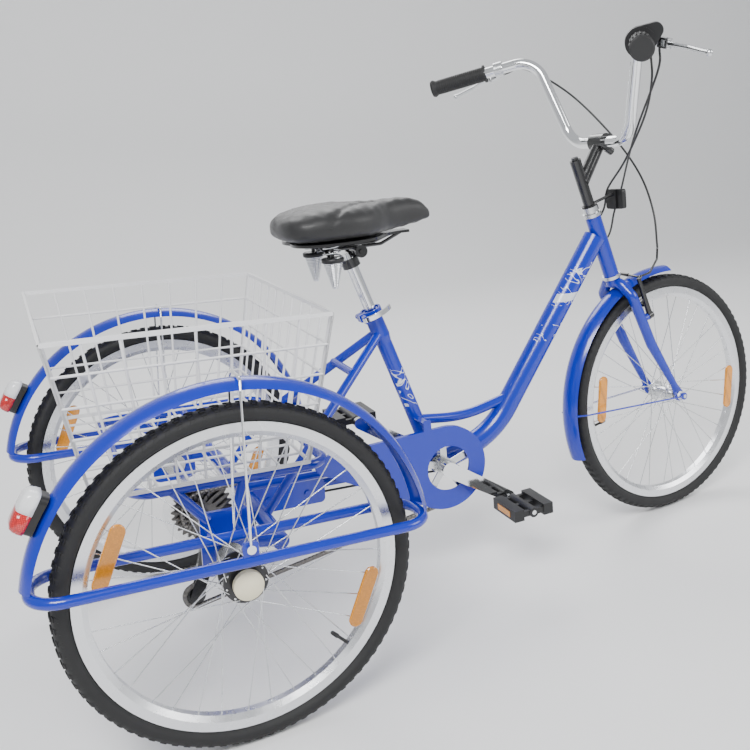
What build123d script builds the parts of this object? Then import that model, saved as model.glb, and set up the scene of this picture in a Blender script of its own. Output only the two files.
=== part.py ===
from build123d import *
import os
from math import acos, asin, atan2, cos, degrees, pi, radians, sin, tan

"""Adult tricycle: step-through frame, two rear wheels, wire basket and derailleur drive.

Millimetres, +X forwards, +Y to the rider's left, +Z up. The ground is z = 0 and the
origin is under the middle of the overall length. Stations along the tricycle are measured
from the rear axle and moved to that origin by at(). The front end is drawn straight ahead
and then turned about the steering axis, because the tricycle is parked with its bar turned.
"""
os.makedirs("parts", exist_ok=True)

# Driving dimensions
wheel_radius = 300.0
tyre_half_width = 23.0
rim_radius = 268.0
rim_bed_radius = 246.0
track_half = 364.4
wheelbase = 1176.8
rear_axle_station = -570.0
bar_turn = 7.3

# Steering axis: bottom of the head tube, and the head angle
head_bottom = (1021.0, 0.0, 624.0)
head_angle = 72.0
head_tube_length = 152.4
steerer_radius = 12.7

# Drive
bracket_x, bracket_z = 521.0, 273.0
crank_length = 170.0
crank_drop = radians(34.0)
chain_y = -54.0
chainring_teeth = 42
cog_teeth = (28, 24, 22, 20, 18, 16, 14)
cog_spacing = 5.0
driven_cog = 3
chain_pitch = 12.7
axle_radius = 8.5
running = 0.06

# Frame tubes
seat_tube_foot = (521.0, 0.0, 273.0)
seat_tube_top = (404.0, 0.0, 633.0)
seat_post_radius = 12.7
down_tube_radius = 25.4
bar_radius = 12.7
carrier_tilt = 2.8


def at(x, y, z):
    return Vector(rear_axle_station + x, y, z)


def save(part, name):
    part.label = name
    export_step(part, f"parts/{name}.step")


def tube(points, radius, bends=None, bore=0.0):
    """A round tube swept along straight runs joined by arcs."""
    with BuildPart() as run:
        with BuildLine() as path:
            if bends:
                FilletPolyline(*points, radius=bends)
            else:
                Polyline(*points)
        with BuildSketch(Plane(origin=path.line @ 0, z_dir=path.line % 0)):
            Circle(radius)
            if bore:
                Circle(bore, mode=Mode.SUBTRACT)
        sweep()
    return run.part


def taper(start, end, radius, end_radius):
    """A straight cone or rod from one point to another."""
    start, end = Vector(start), Vector(end)
    with BuildPart() as rod:
        with BuildSketch(Plane(origin=start, z_dir=end - start)):
            Circle(radius)
        with BuildSketch(Plane(origin=end, z_dir=end - start)):
            Circle(end_radius)
        loft()
    return rod.part


def disc(centre, radius, low, high, bore=0.0):
    """A disc on the cross-tricycle axis through centre, from y = low to y = high."""
    with BuildPart() as plate:
        with BuildSketch(Plane(origin=(centre.X, low, centre.Z), x_dir=(1, 0, 0), z_dir=(0, 1, 0))):
            Circle(radius)
            if bore:
                Circle(bore, mode=Mode.SUBTRACT)
        extrude(amount=high - low)
    return plate.part


def lathe(centre, points, arcs=()):
    """A ring turned about the cross-tricycle axis through centre, from (y, radius) points.

    Each entry of arcs is the index of a point that is the middle of an arc.
    """
    with BuildPart() as ring:
        with BuildSketch(Plane(origin=centre, x_dir=(0, 1, 0), z_dir=(1, 0, 0))):
            with BuildLine():
                count = len(points)
                step = 0
                while step < count:
                    if (step + 1) % count in arcs:
                        ThreePointArc(points[step], points[(step + 1) % count],
                                      points[(step + 2) % count])
                        step += 2
                    else:
                        Line(points[step], points[(step + 1) % count])
                        step += 1
            make_face()
        revolve(axis=Axis(centre, (0, 1, 0)))
    return ring.part


# Steering axis in the tricycle's frame, and the turn that parks the front end
steer_foot = at(*head_bottom)
steer_up = Vector(-cos(radians(head_angle)), 0, sin(radians(head_angle)))
steer_forward = Vector(sin(radians(head_angle)), 0, cos(radians(head_angle)))
steering_axis = Axis(steer_foot, steer_up)


def turned(part):
    return part.rotate(steering_axis, bar_turn)


def on_steering(forward, left, up):
    """A point by its distance ahead of, left of and up the steering axis."""
    return steer_foot + steer_forward * forward + Vector(0, left, 0) + steer_up * up


# ---- wheels ----
flange_radius = 33.0
spoke_radius = 1.0
spoke_count = 36
reflector_radius = 222.0


def tyre(centre):
    carcass = [(11.3, 256.5), (11.3, 268.6), (14.5, 269.5), (23.0, 283.5), (13.0, 297.0),
               (0.0, wheel_radius), (-13.0, 297.0), (-23.0, 283.5), (-14.5, 269.5),
               (-11.3, 268.6), (-11.3, 256.5), (-8.5, 256.5), (-8.5, 269.0), (-19.2, 283.0),
               (-11.0, 293.5), (0.0, 296.0), (11.0, 293.5), (19.2, 283.0), (8.5, 269.0),
               (8.5, 256.5)]
    return lathe(centre, carcass, arcs=(3, 5, 7, 13, 15, 17))


def valve(centre, angle):
    """A rubber valve stem with its cap, standing in from the rim bed towards the hub."""
    inwards = Vector(-cos(angle), 0, -sin(angle))
    root = centre - inwards * (rim_bed_radius - 3.2)
    stem = taper(root, root + inwards * 26, 3.2, 3.2)
    cap = taper(root + inwards * 26, root + inwards * 40, 4.4, 3.8)
    return stem + cap


def rim(centre):
    channel = [(14.0, rim_radius), (14.0, 252.0), (7.0, 243.0), (-7.0, 243.0), (-14.0, 252.0),
               (-14.0, rim_radius), (-11.5, rim_radius), (-11.5, 254.0), (-6.0, rim_bed_radius),
               (6.0, rim_bed_radius), (11.5, 254.0), (11.5, rim_radius)]
    return lathe(centre, channel)


def hub(centre, flange_half, flange_rim, shell, half_length, bore):
    """A spool hub: a shell between two spoke flanges, bored for its axle."""
    profile = [(half_length, bore), (half_length, shell), (flange_half + 2, shell + 1),
               (flange_half + 2, flange_rim), (flange_half - 2, flange_rim),
               (flange_half - 3, shell + 3), (-flange_half + 3, shell + 3),
               (-flange_half + 2, flange_rim), (-flange_half - 2, flange_rim),
               (-flange_half - 2, shell + 1), (-half_length, shell), (-half_length, bore)]
    return lathe(centre, profile)


def spokes(centre, flange_half, hole_radius):
    """Crossed spokes: half lean forwards and half backwards, on alternate flange sides."""
    pairs = spoke_count // 4
    cross = radians(360 / pairs * 1.5)
    solids = []
    for index in range(spoke_count):
        side = 1 if index % 2 else -1
        lean = 1 if (index // 2) % 2 else -1
        rim_angle = radians(360 / spoke_count * (index + 0.5))
        hub_angle = rim_angle + lean * cross
        left = side * flange_half + side * lean * 2.6
        inner = centre + Vector(hole_radius * cos(hub_angle), left, hole_radius * sin(hub_angle))
        outer = centre + Vector(rim_bed_radius * cos(rim_angle), side * 4, rim_bed_radius * sin(rim_angle))
        solids.append(taper(inner, outer, spoke_radius, spoke_radius))
    return Compound(children=[piece.solid() for piece in solids])


def reflectors(centre, angle, left):
    """Two amber bars clipped across the spokes, one on each side of the hub."""
    solids = []
    for turn in (angle, angle + pi):
        outwards = Vector(cos(turn), 0, sin(turn))
        along = Vector(-sin(turn), 0, cos(turn))
        middle = centre + outwards * reflector_radius + Vector(0, left, 0)
        with BuildPart() as bar:
            with BuildSketch(Plane(origin=middle, x_dir=along, z_dir=(0, 1, 0))):
                SlotOverall(112, 25)
            extrude(amount=3.5, both=True)
            chamfer(bar.faces().filter_by(Axis.Y).edges(), 1.6)
        solids.append(bar.part.solid())
    return Compound(children=solids)


rear_hub = dict(flange_half=20, flange_rim=37.5, shell=21, half_length=30, bore=axle_radius + running)
rear_left_centre = at(0, track_half, wheel_radius)
rear_right_centre = at(0, -track_half, wheel_radius)
for name, centre, side in (("rear_left", rear_left_centre, 1), ("rear_right", rear_right_centre, -1)):
    with BuildPart() as rear_tyre:
        add(tyre(centre))
        add(valve(centre, radians(-47)))
    save(rear_tyre.part, f"{name}_tyre")
    save(rim(centre), f"{name}_rim")
    save(hub(centre, **rear_hub), f"{name}_hub")
    save(spokes(centre, 20, flange_radius), f"{name}_spokes")
    save(reflectors(centre, radians(155), side * 12.2), f"{name}_reflectors")
    with BuildPart() as cap:
        add(disc(centre, 25, centre.Y + min(side * 31, side * 50), centre.Y + max(side * 31, side * 50)))
        with Locations(centre + Vector(0, side * 6.9, 0)):
            Sphere(43.1, mode=Mode.INTERSECT)
    save(cap.part, f"{name}_hub_cap")

front_centre = at(wheelbase, 0, wheel_radius)
front_axle_radius = 4.75
with BuildPart() as front_tyre:
    add(tyre(front_centre))
    add(valve(front_centre, radians(188)))
save(turned(front_tyre.part), "front_tyre")
save(turned(rim(front_centre)), "front_rim")
save(turned(hub(front_centre, 26, 24, 12, 40, front_axle_radius + running)), "front_hub")
save(turned(spokes(front_centre, 26, 20)), "front_spokes")
save(turned(reflectors(front_centre, radians(-8), -15.5)), "front_reflectors")

# ---- front axle with its nuts, washers and caps ----
with BuildPart() as front_axle:
    add(disc(front_centre, front_axle_radius, -72, 72))
    for side in (-1, 1):
        low, high = sorted((side * 42, side * 49.8))
        add(disc(front_centre, 9, low, high))
        low, high = sorted((side * 54.2, side * 57))
        add(disc(front_centre, 11, low, high))
        low = min(side * 57, side * 66)
        with BuildSketch(Plane(origin=(front_centre.X, low, front_centre.Z), x_dir=(1, 0, 0),
                               z_dir=(0, 1, 0))):
            RegularPolygon(8.5, 6)
        extrude(amount=9)
save(turned(front_axle.part), "front_axle")

# ---- rear axle ----
rear_axle = disc(at(0, 0, wheel_radius), axle_radius, -(track_half + 31), track_half + 30.4)
save(rear_axle, "rear_axle")

# ---- main frame ----
head_foot = steer_foot
head_top = on_steering(0, 0, head_tube_length)
down_tube_route = [at(977, 0, 718.5), at(674.3, 0, 299.5), at(543, 0, 266)]
seat_foot, seat_top = at(*seat_tube_foot), at(*seat_tube_top)
seat_up = (seat_top - seat_foot).normalized()
bracket = at(bracket_x, 0, bracket_z)
seat_stays = [(at(412, side * 10, 578), at(205, side * 134, 420)) for side in (-1, 1)]
chain_stays = [(at(505, side * 20, 276), at(108, side * 28, 298)) for side in (-1, 1)]

with BuildPart() as main_frame:
    add(taper(head_foot, head_top, 18.5, 18.5))
    add(tube(down_tube_route, down_tube_radius, 195))
    add(taper(seat_foot, seat_top, 16.5, 16.5))
    add(taper(seat_top - seat_up * 78, seat_top - seat_up * 62, 16.5, 19))
    add(taper(seat_top - seat_up * 62, seat_top - seat_up * 4, 19, 18))
    add(tube([at(497, 0, 371), at(604, 0, 355), at(744, 0, 384)], 11, 300))
    for start, end in seat_stays:
        add(taper(start, end, 9.5, 9.5))
    for start, end in chain_stays:
        add(taper(start, end, 11, 9.5))
    add(taper(at(331, -58, 521), at(331, 58, 521), 8, 8))
    add(disc(bracket, 22, -34, 34))
    # Hollow tubes: the bores of the head tube, seat tube, down tube and bracket shell
    add(taper(head_foot - steer_up * 5, head_top + steer_up * 5, 15, 15), mode=Mode.SUBTRACT)
    add(taper(seat_foot + seat_up * 30, seat_top + seat_up * 5, seat_post_radius + running,
              seat_post_radius + running), mode=Mode.SUBTRACT)
    add(tube([at(952, 0, 683.9), at(674.3, 0, 299.5), at(558, 0, 269.8)], 23.4, 195),
        mode=Mode.SUBTRACT)
    add(disc(bracket, 17, -40, 40), mode=Mode.SUBTRACT)
    # The seat tube is slit behind, where the clamp closes it
    with BuildSketch(Plane(origin=seat_top - seat_up * 40, x_dir=(0, 1, 0), z_dir=seat_up)):
        with Locations((0, 15)):
            Rectangle(2.5, 24)
    extrude(amount=60, mode=Mode.SUBTRACT)
save(main_frame.part, "main_frame")

# ---- bearings: headset cups, bottom-bracket cups and rear axle bearings ----
bearing_half_span = 262.0
with BuildPart() as frame_bearings:
    for foot, direction in ((head_foot, -1), (head_top, 1)):
        base = Plane(origin=foot, x_dir=steer_forward, z_dir=steer_up * direction)
        with BuildSketch(base):
            Circle(22)
            Circle(steerer_radius + running, mode=Mode.SUBTRACT)
        extrude(amount=8)
        with BuildSketch(base.offset(-12)):
            Circle(14.98)
            Circle(steerer_radius + running, mode=Mode.SUBTRACT)
        extrude(amount=12)
    for side in (-1, 1):
        low, high = sorted((side * 34.1, side * 38))
        add(disc(bracket, 21, low, high, bore=axle_radius + running))
        low, high = sorted((side * 20, side * 34.1))
        add(disc(bracket, 16.98, low, high, bore=axle_radius + running))
        low, high = sorted((side * (bearing_half_span - 8), side * (bearing_half_span + 14)))
        add(disc(at(0, 0, wheel_radius), 23.9, low, high, bore=axle_radius + running))
save(frame_bearings.part, "frame_bearings")

# ---- seat clamp collar and its quick-release lever ----
collar = Plane(origin=seat_top - seat_up * 18, x_dir=(0, 1, 0), z_dir=seat_up)
with BuildPart() as seat_clamp:
    with BuildSketch(collar.offset(4)):
        Circle(23)
        Circle(18.95, mode=Mode.SUBTRACT)
        with Locations((0, 24)):
            Rectangle(22, 14)
        with Locations((0, 24)):
            Rectangle(3, 16, mode=Mode.SUBTRACT)
        Circle(18.95, mode=Mode.SUBTRACT)
    extrude(amount=16)
    skewer = collar.origin + seat_up * 12 + (collar.y_dir * 26)
    add(taper(skewer - Vector(0, 22.5, 0), skewer + Vector(0, 20, 0), 2.5, 2.5))
    add(taper(skewer + Vector(0, 11, 0), skewer + Vector(0, 18, 0), 6, 6))
    # Fork that carries the lever's pin
    lever_pivot = skewer - Vector(0, 29, 0)
    add(taper(lever_pivot - seat_up * 8, lever_pivot + seat_up * 8, 2.5, 2.5))
    for low, high in ((-8, -5.4), (5.4, 8)):
        with BuildSketch(Plane(origin=lever_pivot + seat_up * low, x_dir=(0, 1, 0), z_dir=seat_up)):
            with Locations((3, 0)):
                Rectangle(14, 7)
        extrude(amount=high - low)
    with BuildSketch(Plane(origin=skewer - Vector(0, 22.5, 0), x_dir=collar.y_dir, z_dir=(0, 1, 0))):
        Rectangle(7, 16)
    extrude(amount=3)
save(seat_clamp.part, "seat_clamp")

with BuildPart() as seat_clamp_lever:
    with BuildSketch(Plane(origin=lever_pivot - seat_up * 5, x_dir=-collar.y_dir, z_dir=seat_up)):
        with BuildLine():
            ThreePointArc((0, 6), (-6, 0), (0, -6))
            ThreePointArc((0, -6), (34, -10), (64, 8))
            Line((64, 8), (61, 11))
            ThreePointArc((61, 11), (34, -5), (3, 0))
            Line((3, 0), (0, 6))
        make_face()
        Circle(2.5 + running, mode=Mode.SUBTRACT)
    extrude(amount=10)
save(seat_clamp_lever.part, "seat_clamp_lever")

# ---- seat post ----
post_top = seat_top + seat_up * 118
with BuildPart() as seat_post:
    add(taper(seat_top - seat_up * 190, post_top, seat_post_radius, seat_post_radius))
    add(taper(post_top, post_top + seat_up * 14, seat_post_radius, 11))
save(seat_post.part, "seat_post")

# ---- saddle: cover, pan with its rails, clamp and coned springs ----
# Stations along the cover: x, half width, underside, top
saddle_stations = [(218, 34, 812, 832), (228, 74, 801, 844), (262, 98, 795, 857), (320, 107, 794, 864),
                   (378, 101, 794, 864), (420, 74, 795, 861), (452, 44, 797, 861), (492, 31, 801, 862),
                   (530, 25, 807, 853), (549, 18, 812, 836), (554, 9, 816, 828)]
with BuildPart() as saddle_cover:
    for x, half, low, high in saddle_stations:
        with BuildSketch(Plane(origin=at(x, 0, 0), x_dir=(0, 1, 0), z_dir=(1, 0, 0))):
            with BuildLine():
                Spline((-half, low), (-half * 0.98, low + (high - low) * 0.55),
                       (-half * 0.66, low + (high - low) * 0.93), (0, high),
                       (half * 0.66, low + (high - low) * 0.93),
                       (half * 0.98, low + (high - low) * 0.55), (half, low))
                Line((half, low), (-half, low))
            make_face()
    loft()
save(saddle_cover.part, "saddle_cover")

spring_seats = [at(312, side * 60, 0) for side in (-1, 1)]
with BuildPart() as saddle_base:
    with BuildSketch(Plane.XY.offset(788)):
        with BuildLine():
            Spline(at(246, 0, 0), at(270, 84, 0), at(330, 98, 0), at(400, 78, 0), at(438, 40, 0),
                   at(500, 18, 0))
            Line(at(500, 18, 0), at(500, -18, 0))
            Spline(at(500, -18, 0), at(438, -40, 0), at(400, -78, 0), at(330, -98, 0),
                   at(270, -84, 0), at(246, 0, 0))
        make_face()
    extrude(amount=5.6)
    for side in (-1, 1):
        rail = [at(292, side * 22, 790), at(308, side * 22, 772), at(432, side * 22, 772),
                at(480, side * 14, 790)]
        add(tube(rail, 3.5, 12))
        add(taper(at(312, side * 60, 755), at(312, side * 60, 762), 17, 17))
        add(taper(at(312, side * 60, 757), at(312, side * 60, 790), 4, 4))
        add(taper(at(312, side * 48, 758.5), at(312, side * 22, 771), 4, 4))

clamp_pin = at(384, 0, 763)
with BuildPart() as saddle_clamp:
    add(taper(post_top - seat_up * 16, post_top + seat_up * 3, 19, 19))
    add(taper(post_top + Vector(4, 0, -6), clamp_pin - Vector(2, 0, 4), 11, 8))
    add(disc(clamp_pin, 9, -18, 18))
    add(disc(clamp_pin, 5, -38, 38))
    for side in (-1, 1):
        low, high = sorted((side * 26, side * 34))
        add(disc(clamp_pin, 13, low, high))
    add(taper(post_top - seat_up * 60, post_top + seat_up * 30, seat_post_radius + running,
              seat_post_radius + running), mode=Mode.SUBTRACT)
save(saddle_base.part + saddle_clamp.part, "saddle_base")


def coil(foot, height, foot_radius, head_radius, turns, wire_radius):
    """A coned compression spring standing on foot."""
    cone = degrees(atan2(head_radius - foot_radius, height))
    path = Helix(pitch=height / turns, height=height, radius=foot_radius, center=foot, cone_angle=cone)
    with BuildPart() as spring:
        with BuildSketch(Plane(origin=path @ 0, z_dir=path % 0)):
            Circle(wire_radius)
        sweep(path=path, is_frenet=True)
    return spring.part


with BuildPart() as saddle_springs:
    for seat in spring_seats:
        add(coil(seat + Vector(0, 0, 707), 44, 7, 14, 5, 1.8))
        add(taper(seat + Vector(0, 0, 702), seat + Vector(0, 0, 706.5), 8, 8))
        add(taper(seat + Vector(0, 0, 703), seat + Vector(0, 0, 754.7), 3, 3))
save(saddle_springs.part, "saddle_springs")

# ---- rear carrier, hoops, mudguards and basket, pitched nose-down about the rear axle ----
rear_axle_line = Axis(at(0, 0, wheel_radius), (0, 1, 0))


def pitched(part):
    return part.rotate(rear_axle_line, carrier_tilt)


rail_z = 427.0
hoop_z = 349.0
plate_y = 262.0
with BuildPart() as rear_carrier:
    for end in (-150, 196):
        half = [at(20, -245, rail_z), at(end, -245, rail_z), at(end, 245, rail_z), at(20, 245, rail_z)]
        add(tube(half, 9.5, 40))
    add(taper(at(25, -240, rail_z), at(25, 240, rail_z), 8, 8))
    add(disc(at(95, 0, 300), 15.9, -plate_y, plate_y))
    for side in (-1, 1):
        low, high = sorted((side * (plate_y - 4), side * (plate_y + 4)))
        with BuildSketch(Plane(origin=at(0, low, 0), x_dir=(1, 0, 0), z_dir=(0, 1, 0))):
            with Locations((0, -322)):
                RectangleRounded(92, 118, 16)
        extrude(amount=high - low)
        add(taper(at(-30, side * plate_y, 366), at(-82, side * 246, 424), 9.5, 9.5))
        add(taper(at(18, side * plate_y, 366), at(40, side * 246, 424), 9.5, 9.5))
        add(taper(at(40, side * plate_y, 312), at(100, side * (plate_y - 6), 300), 12, 12))
        add(taper(at(95, side * 150, 302), at(190, side * 150, rail_z), 8, 8))
        for x in (-30, 30):
            add(taper(at(x, side * plate_y, hoop_z), at(x, side * 302, hoop_z), 8, 8))
        low, high = sorted((side * 37.8, side * 43.2))
        with BuildSketch(Plane(origin=at(0, low, 0), x_dir=(1, 0, 0), z_dir=(0, 1, 0))):
            with Locations((172, -293)):
                RectangleRounded(160, 52, 10)
        extrude(amount=high - low)
        low, high = sorted((side * 43.2, side * 47.4))
        for x in (132, 215):
            add(disc(at(x, 0, 292), 7, low, high))
    # Bearing seats in the side plates
    for side in (-1, 1):
        low, high = sorted((side * (plate_y - 10), side * (plate_y + 10)))
        add(disc(at(0, 0, wheel_radius), 24, low, high), mode=Mode.SUBTRACT)
    # Derailleur hanger, outboard of the sprockets
    with BuildSketch(Plane(origin=at(0, -85, 0), x_dir=(1, 0, 0), z_dir=(0, 1, 0))):
        with Locations((95, -300)):
            Circle(15)
        with Locations((2, -246)):
            Circle(10)
        make_hull()
    extrude(amount=4)
save(pitched(rear_carrier.part), "rear_carrier")

with BuildPart() as rear_hoops:
    for side in (-1, 1):
        inner, outer = side * 309, side * 420
        half = [at(0, inner, hoop_z), at(322, inner, hoop_z), at(322, outer, hoop_z), at(0, outer, hoop_z)]
        add(tube(half, 9.5, 48))
        half = [at(0, inner, hoop_z), at(-322, inner, hoop_z), at(-322, outer, hoop_z), at(0, outer, hoop_z)]
        add(tube(half, 9.5, 48))
        low, high = sorted((side * 418, side * 424))
        with BuildSketch(Plane(origin=at(0, low, 0), x_dir=(1, 0, 0), z_dir=(0, 1, 0))):
            with Locations((3, -hoop_z - 14)):
                RectangleRounded(26, 40, 6)
        extrude(amount=high - low)
save(pitched(rear_hoops.part), "rear_hoops")


def mudguard(centre, crown, edge, half_width, start, finish, thickness=1.6):
    """A rolled mudguard: an arched section swept round the wheel between two angles."""
    outwards = Vector(cos(start), 0, sin(start))
    with BuildPart() as guard:
        with BuildSketch(Plane(origin=centre, x_dir=(0, 1, 0), z_dir=Vector(0, 1, 0).cross(outwards))):
            with BuildLine():
                ThreePointArc((-half_width, edge), (0, crown), (half_width, edge))
                Line((half_width, edge), (half_width - thickness, edge))
                ThreePointArc((half_width - thickness, edge), (0, crown - thickness),
                              (thickness - half_width, edge))
                Line((thickness - half_width, edge), (-half_width, edge))
            make_face()
        revolve(axis=Axis(centre, (0, -1, 0)), revolution_arc=degrees(finish - start))
    return guard.part


guard_end = asin(57 / 333)
with BuildPart() as rear_fenders:
    for centre in (rear_left_centre, rear_right_centre):
        add(mudguard(centre, 340, 325, 31, guard_end, pi - guard_end))
save(pitched(rear_fenders.part), "rear_fenders")

with BuildPart() as fender_stays:
    for side in (-1, 1):
        wire = [at(3, side * 426.6, 372), at(9, side * 405, 625), at(12, side * 394, 644),
                at(12, side * 335, 644), at(10, side * 324, 625), at(3, side * 309, 358)]
        add(tube(wire, 2.2, 9))
        low, high = sorted((side * 424.2, side * 431))
        add(disc(at(3, 0, 372), 7.5, low, high))
save(pitched(fender_stays.part), "fender_stays")

# ---- basket: four leaning wire panels and a wire floor ----
basket_low, basket_high = 438.0, 710.0
floor_rear, floor_front, floor_half = -212.0, 156.0, 265.0
rim_rear, rim_front, rim_half = -266.0, 205.0, 292.0
wire = 4.0


def grid(corners, columns, rows, strip):
    """A wire panel between four corners (foot left, foot right, head right, head left)."""
    foot_left, foot_right, head_right, head_left = (Vector(c) for c in corners)
    across = foot_right - foot_left
    normal = across.cross(head_left - foot_left).normalized()
    plane = Plane(origin=foot_left, x_dir=across, z_dir=normal)
    flat = [plane.to_local_coords(c) for c in (foot_left, foot_right, head_right, head_left)]
    flat = [(c.X, c.Y) for c in flat]

    def place(u, v):
        low = (flat[0][0] + (flat[1][0] - flat[0][0]) * u, 0)
        high = (flat[3][0] + (flat[2][0] - flat[3][0]) * u, flat[3][1])
        return (low[0] + (high[0] - low[0]) * v, high[1] * v)

    with BuildPart() as panel:
        with BuildSketch(plane):
            for column in range(columns + 1):
                width = strip if column in (0, columns) else wire
                with BuildLine():
                    Line(place(column / columns, 0), place(column / columns, 1))
                trace(line_width=width)
            for row in range(rows + 1):
                with BuildLine():
                    Line(place(0, row / rows), place(1, row / rows))
                trace(line_width=wire)
        extrude(amount=wire / 2, both=True)
    return panel.part


with BuildPart() as basket:
    for side in (-1, 1):
        add(grid([at(floor_rear + 9, side * floor_half, basket_low + 4),
                  at(floor_front - 9, side * floor_half, basket_low + 4),
                  at(rim_front - 9, side * rim_half, basket_high),
                  at(rim_rear + 9, side * rim_half, basket_high)], 8, 5, 8))
    for foot_x, head_x in ((floor_rear, rim_rear), (floor_front, rim_front)):
        add(grid([at(foot_x, -floor_half, basket_low + 4), at(foot_x, floor_half, basket_low + 4),
                  at(head_x, rim_half, basket_high), at(head_x, -rim_half, basket_high)], 10, 5, 14))
    add(grid([at(floor_rear, -floor_half, basket_low + 1), at(floor_front, -floor_half, basket_low + 1),
              at(floor_front, floor_half, basket_low + 1), at(floor_rear, floor_half, basket_low + 1)],
             7, 9, wire))
save(pitched(basket.part), "basket")

# ---- tail lamps on the rear of the mudguards ----
lamp_angle = radians(147)
lamp_out = Vector(cos(lamp_angle), 0, sin(lamp_angle))
with BuildPart() as lamp_bases:
    for centre in (rear_left_centre, rear_right_centre):
        with BuildSketch(Plane(origin=centre + lamp_out * 332, x_dir=(0, 1, 0), z_dir=lamp_out)):
            RectangleRounded(44, 64, 12)
        extrude(amount=20)
        add(disc(centre, 340.1, -31 + centre.Y, 31 + centre.Y), mode=Mode.SUBTRACT)
save(lamp_bases.part, "tail_lamp_bases")

with BuildPart() as lamp_lenses:
    for centre in (rear_left_centre, rear_right_centre):
        seat = Plane(origin=centre + lamp_out * 352.1, x_dir=(0, 1, 0), z_dir=lamp_out)
        with BuildSketch(seat):
            RectangleRounded(48, 70, 13)
        with BuildSketch(seat.offset(23)):
            RectangleRounded(30, 48, 10)
        loft()
save(lamp_lenses.part, "tail_lamp_lenses")

# ---- chain guard: a shallow tray beside the chain, open round the bracket ----
guard_face = -68.0
with BuildPart() as chain_guard:
    for inset, low, high, mode in ((0, guard_face, -58, Mode.ADD), (1.5, guard_face + 1.5, -57, Mode.SUBTRACT)):
        with BuildSketch(Plane(origin=at(0, low, 0), x_dir=(1, 0, 0), z_dir=(0, 1, 0))):
            with Locations((523, -272)):
                Circle(94 - inset)
            with Locations((250, -340)):
                Circle(20 - inset)
            make_hull()
        extrude(amount=high - low, mode=mode)
    add(disc(at(527, 0, 271), 50, guard_face - 1, -50), mode=Mode.SUBTRACT)
    with BuildSketch(Plane(origin=at(0, guard_face, 0), x_dir=(1, 0, 0), z_dir=(0, 1, 0))):
        with Locations((484, -369)):
            RectangleRounded(18, 40, 5)
    extrude(amount=1.5)
    with Locations(at(484, -39, 381)):
        Box(16, 56, 3)
save(chain_guard.part, "chain_guard")

# ---- sprockets ----


def sprocket(centre, teeth, low, high, bore):
    """A toothed disc for the chain, with pointed teeth on its pitch circle."""
    pitch_radius = chain_pitch / (2 * sin(pi / teeth))
    outline = []
    for tooth in range(teeth * 2):
        turn = pi * tooth / teeth
        reach = pitch_radius + (3.2 if tooth % 2 else -3.6)
        for step in (-0.22, 0.22):
            angle = turn + step * pi / teeth
            outline.append((centre.X + reach * cos(angle), -centre.Z + reach * sin(angle)))
    with BuildPart() as plate:
        with BuildSketch(Plane(origin=(0, low, 0), x_dir=(1, 0, 0), z_dir=(0, 1, 0))):
            Polygon(*outline, align=None)
            with Locations((centre.X, -centre.Z)):
                Circle(bore, mode=Mode.SUBTRACT)
        extrude(amount=high - low)
    return plate.part


rear_centre = at(0, 0, wheel_radius)
with BuildPart() as freewheel:
    for index, teeth in enumerate(cog_teeth):
        middle = chain_y + (driven_cog - index) * cog_spacing
        add(sprocket(rear_centre, teeth, middle - 0.9, middle + 0.9, 20))
    add(disc(rear_centre, 22, -71, -36, bore=axle_radius + running))
    # Clear guard disc, inboard of the largest sprocket
    add(disc(rear_centre, 74, -34.5, -32.5, bore=12))
    add(disc(rear_centre, 16, -36.5, -31, bore=axle_radius + running))
save(freewheel.part, "freewheel")

# ---- chain, threaded over chainring, driven sprocket and both derailleur pulleys ----
ring_pitch_radius = chain_pitch / (2 * sin(pi / chainring_teeth))
cog_pitch_radius = chain_pitch / (2 * sin(pi / cog_teeth[driven_cog]))
pulley_radius = 22.2
guide = (-8.0, 191.0)
tension = (-36.0, 131.0)
# Centre x and z, pitch radius, and which way round the chain goes
chain_wheels = [((bracket_x, bracket_z), ring_pitch_radius, 1), ((0.0, wheel_radius), cog_pitch_radius, 1),
                (guide, pulley_radius, -1), (tension, pulley_radius, 1)]


def belt(offset):
    """Closed tangent-and-arc loop round the chain wheels, moved outwards by offset."""
    contacts = []
    for (a, a_radius, a_sense), (b, b_radius, b_sense) in zip(chain_wheels, chain_wheels[1:] + chain_wheels[:1]):
        a_reach = a_sense * a_radius + offset
        b_reach = b_sense * b_radius + offset
        across = Vector(*b) - Vector(*a)
        heading = atan2(across.Y, across.X) - acos((a_reach - b_reach) / across.length)
        normal = Vector(cos(heading), sin(heading))
        contacts.append((Vector(*a) + normal * a_reach, Vector(*b) + normal * b_reach, heading))
    for index, (start, finish, heading) in enumerate(contacts):
        Line(start, finish)
        middle, radius, sense = chain_wheels[(index + 1) % len(chain_wheels)]
        leave, _, next_heading = contacts[(index + 1) % len(contacts)]
        swing = (sense * (next_heading - heading)) % (2 * pi) * sense
        reach = sense * radius + offset
        halfway = heading + swing / 2
        ThreePointArc(finish, Vector(*middle) + Vector(cos(halfway), sin(halfway)) * reach, leave)


with BuildPart() as chain:
    for low in (chain_y + 3.4, chain_y - 2.4):
        with BuildSketch(Plane(origin=at(0, low, 0), x_dir=(1, 0, 0), z_dir=(0, -1, 0))):
            with BuildLine():
                belt(4)
            make_face()
            with BuildLine():
                belt(-4)
            make_face(mode=Mode.SUBTRACT)
        extrude(amount=1)
save(chain.part, "chain")

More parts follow.
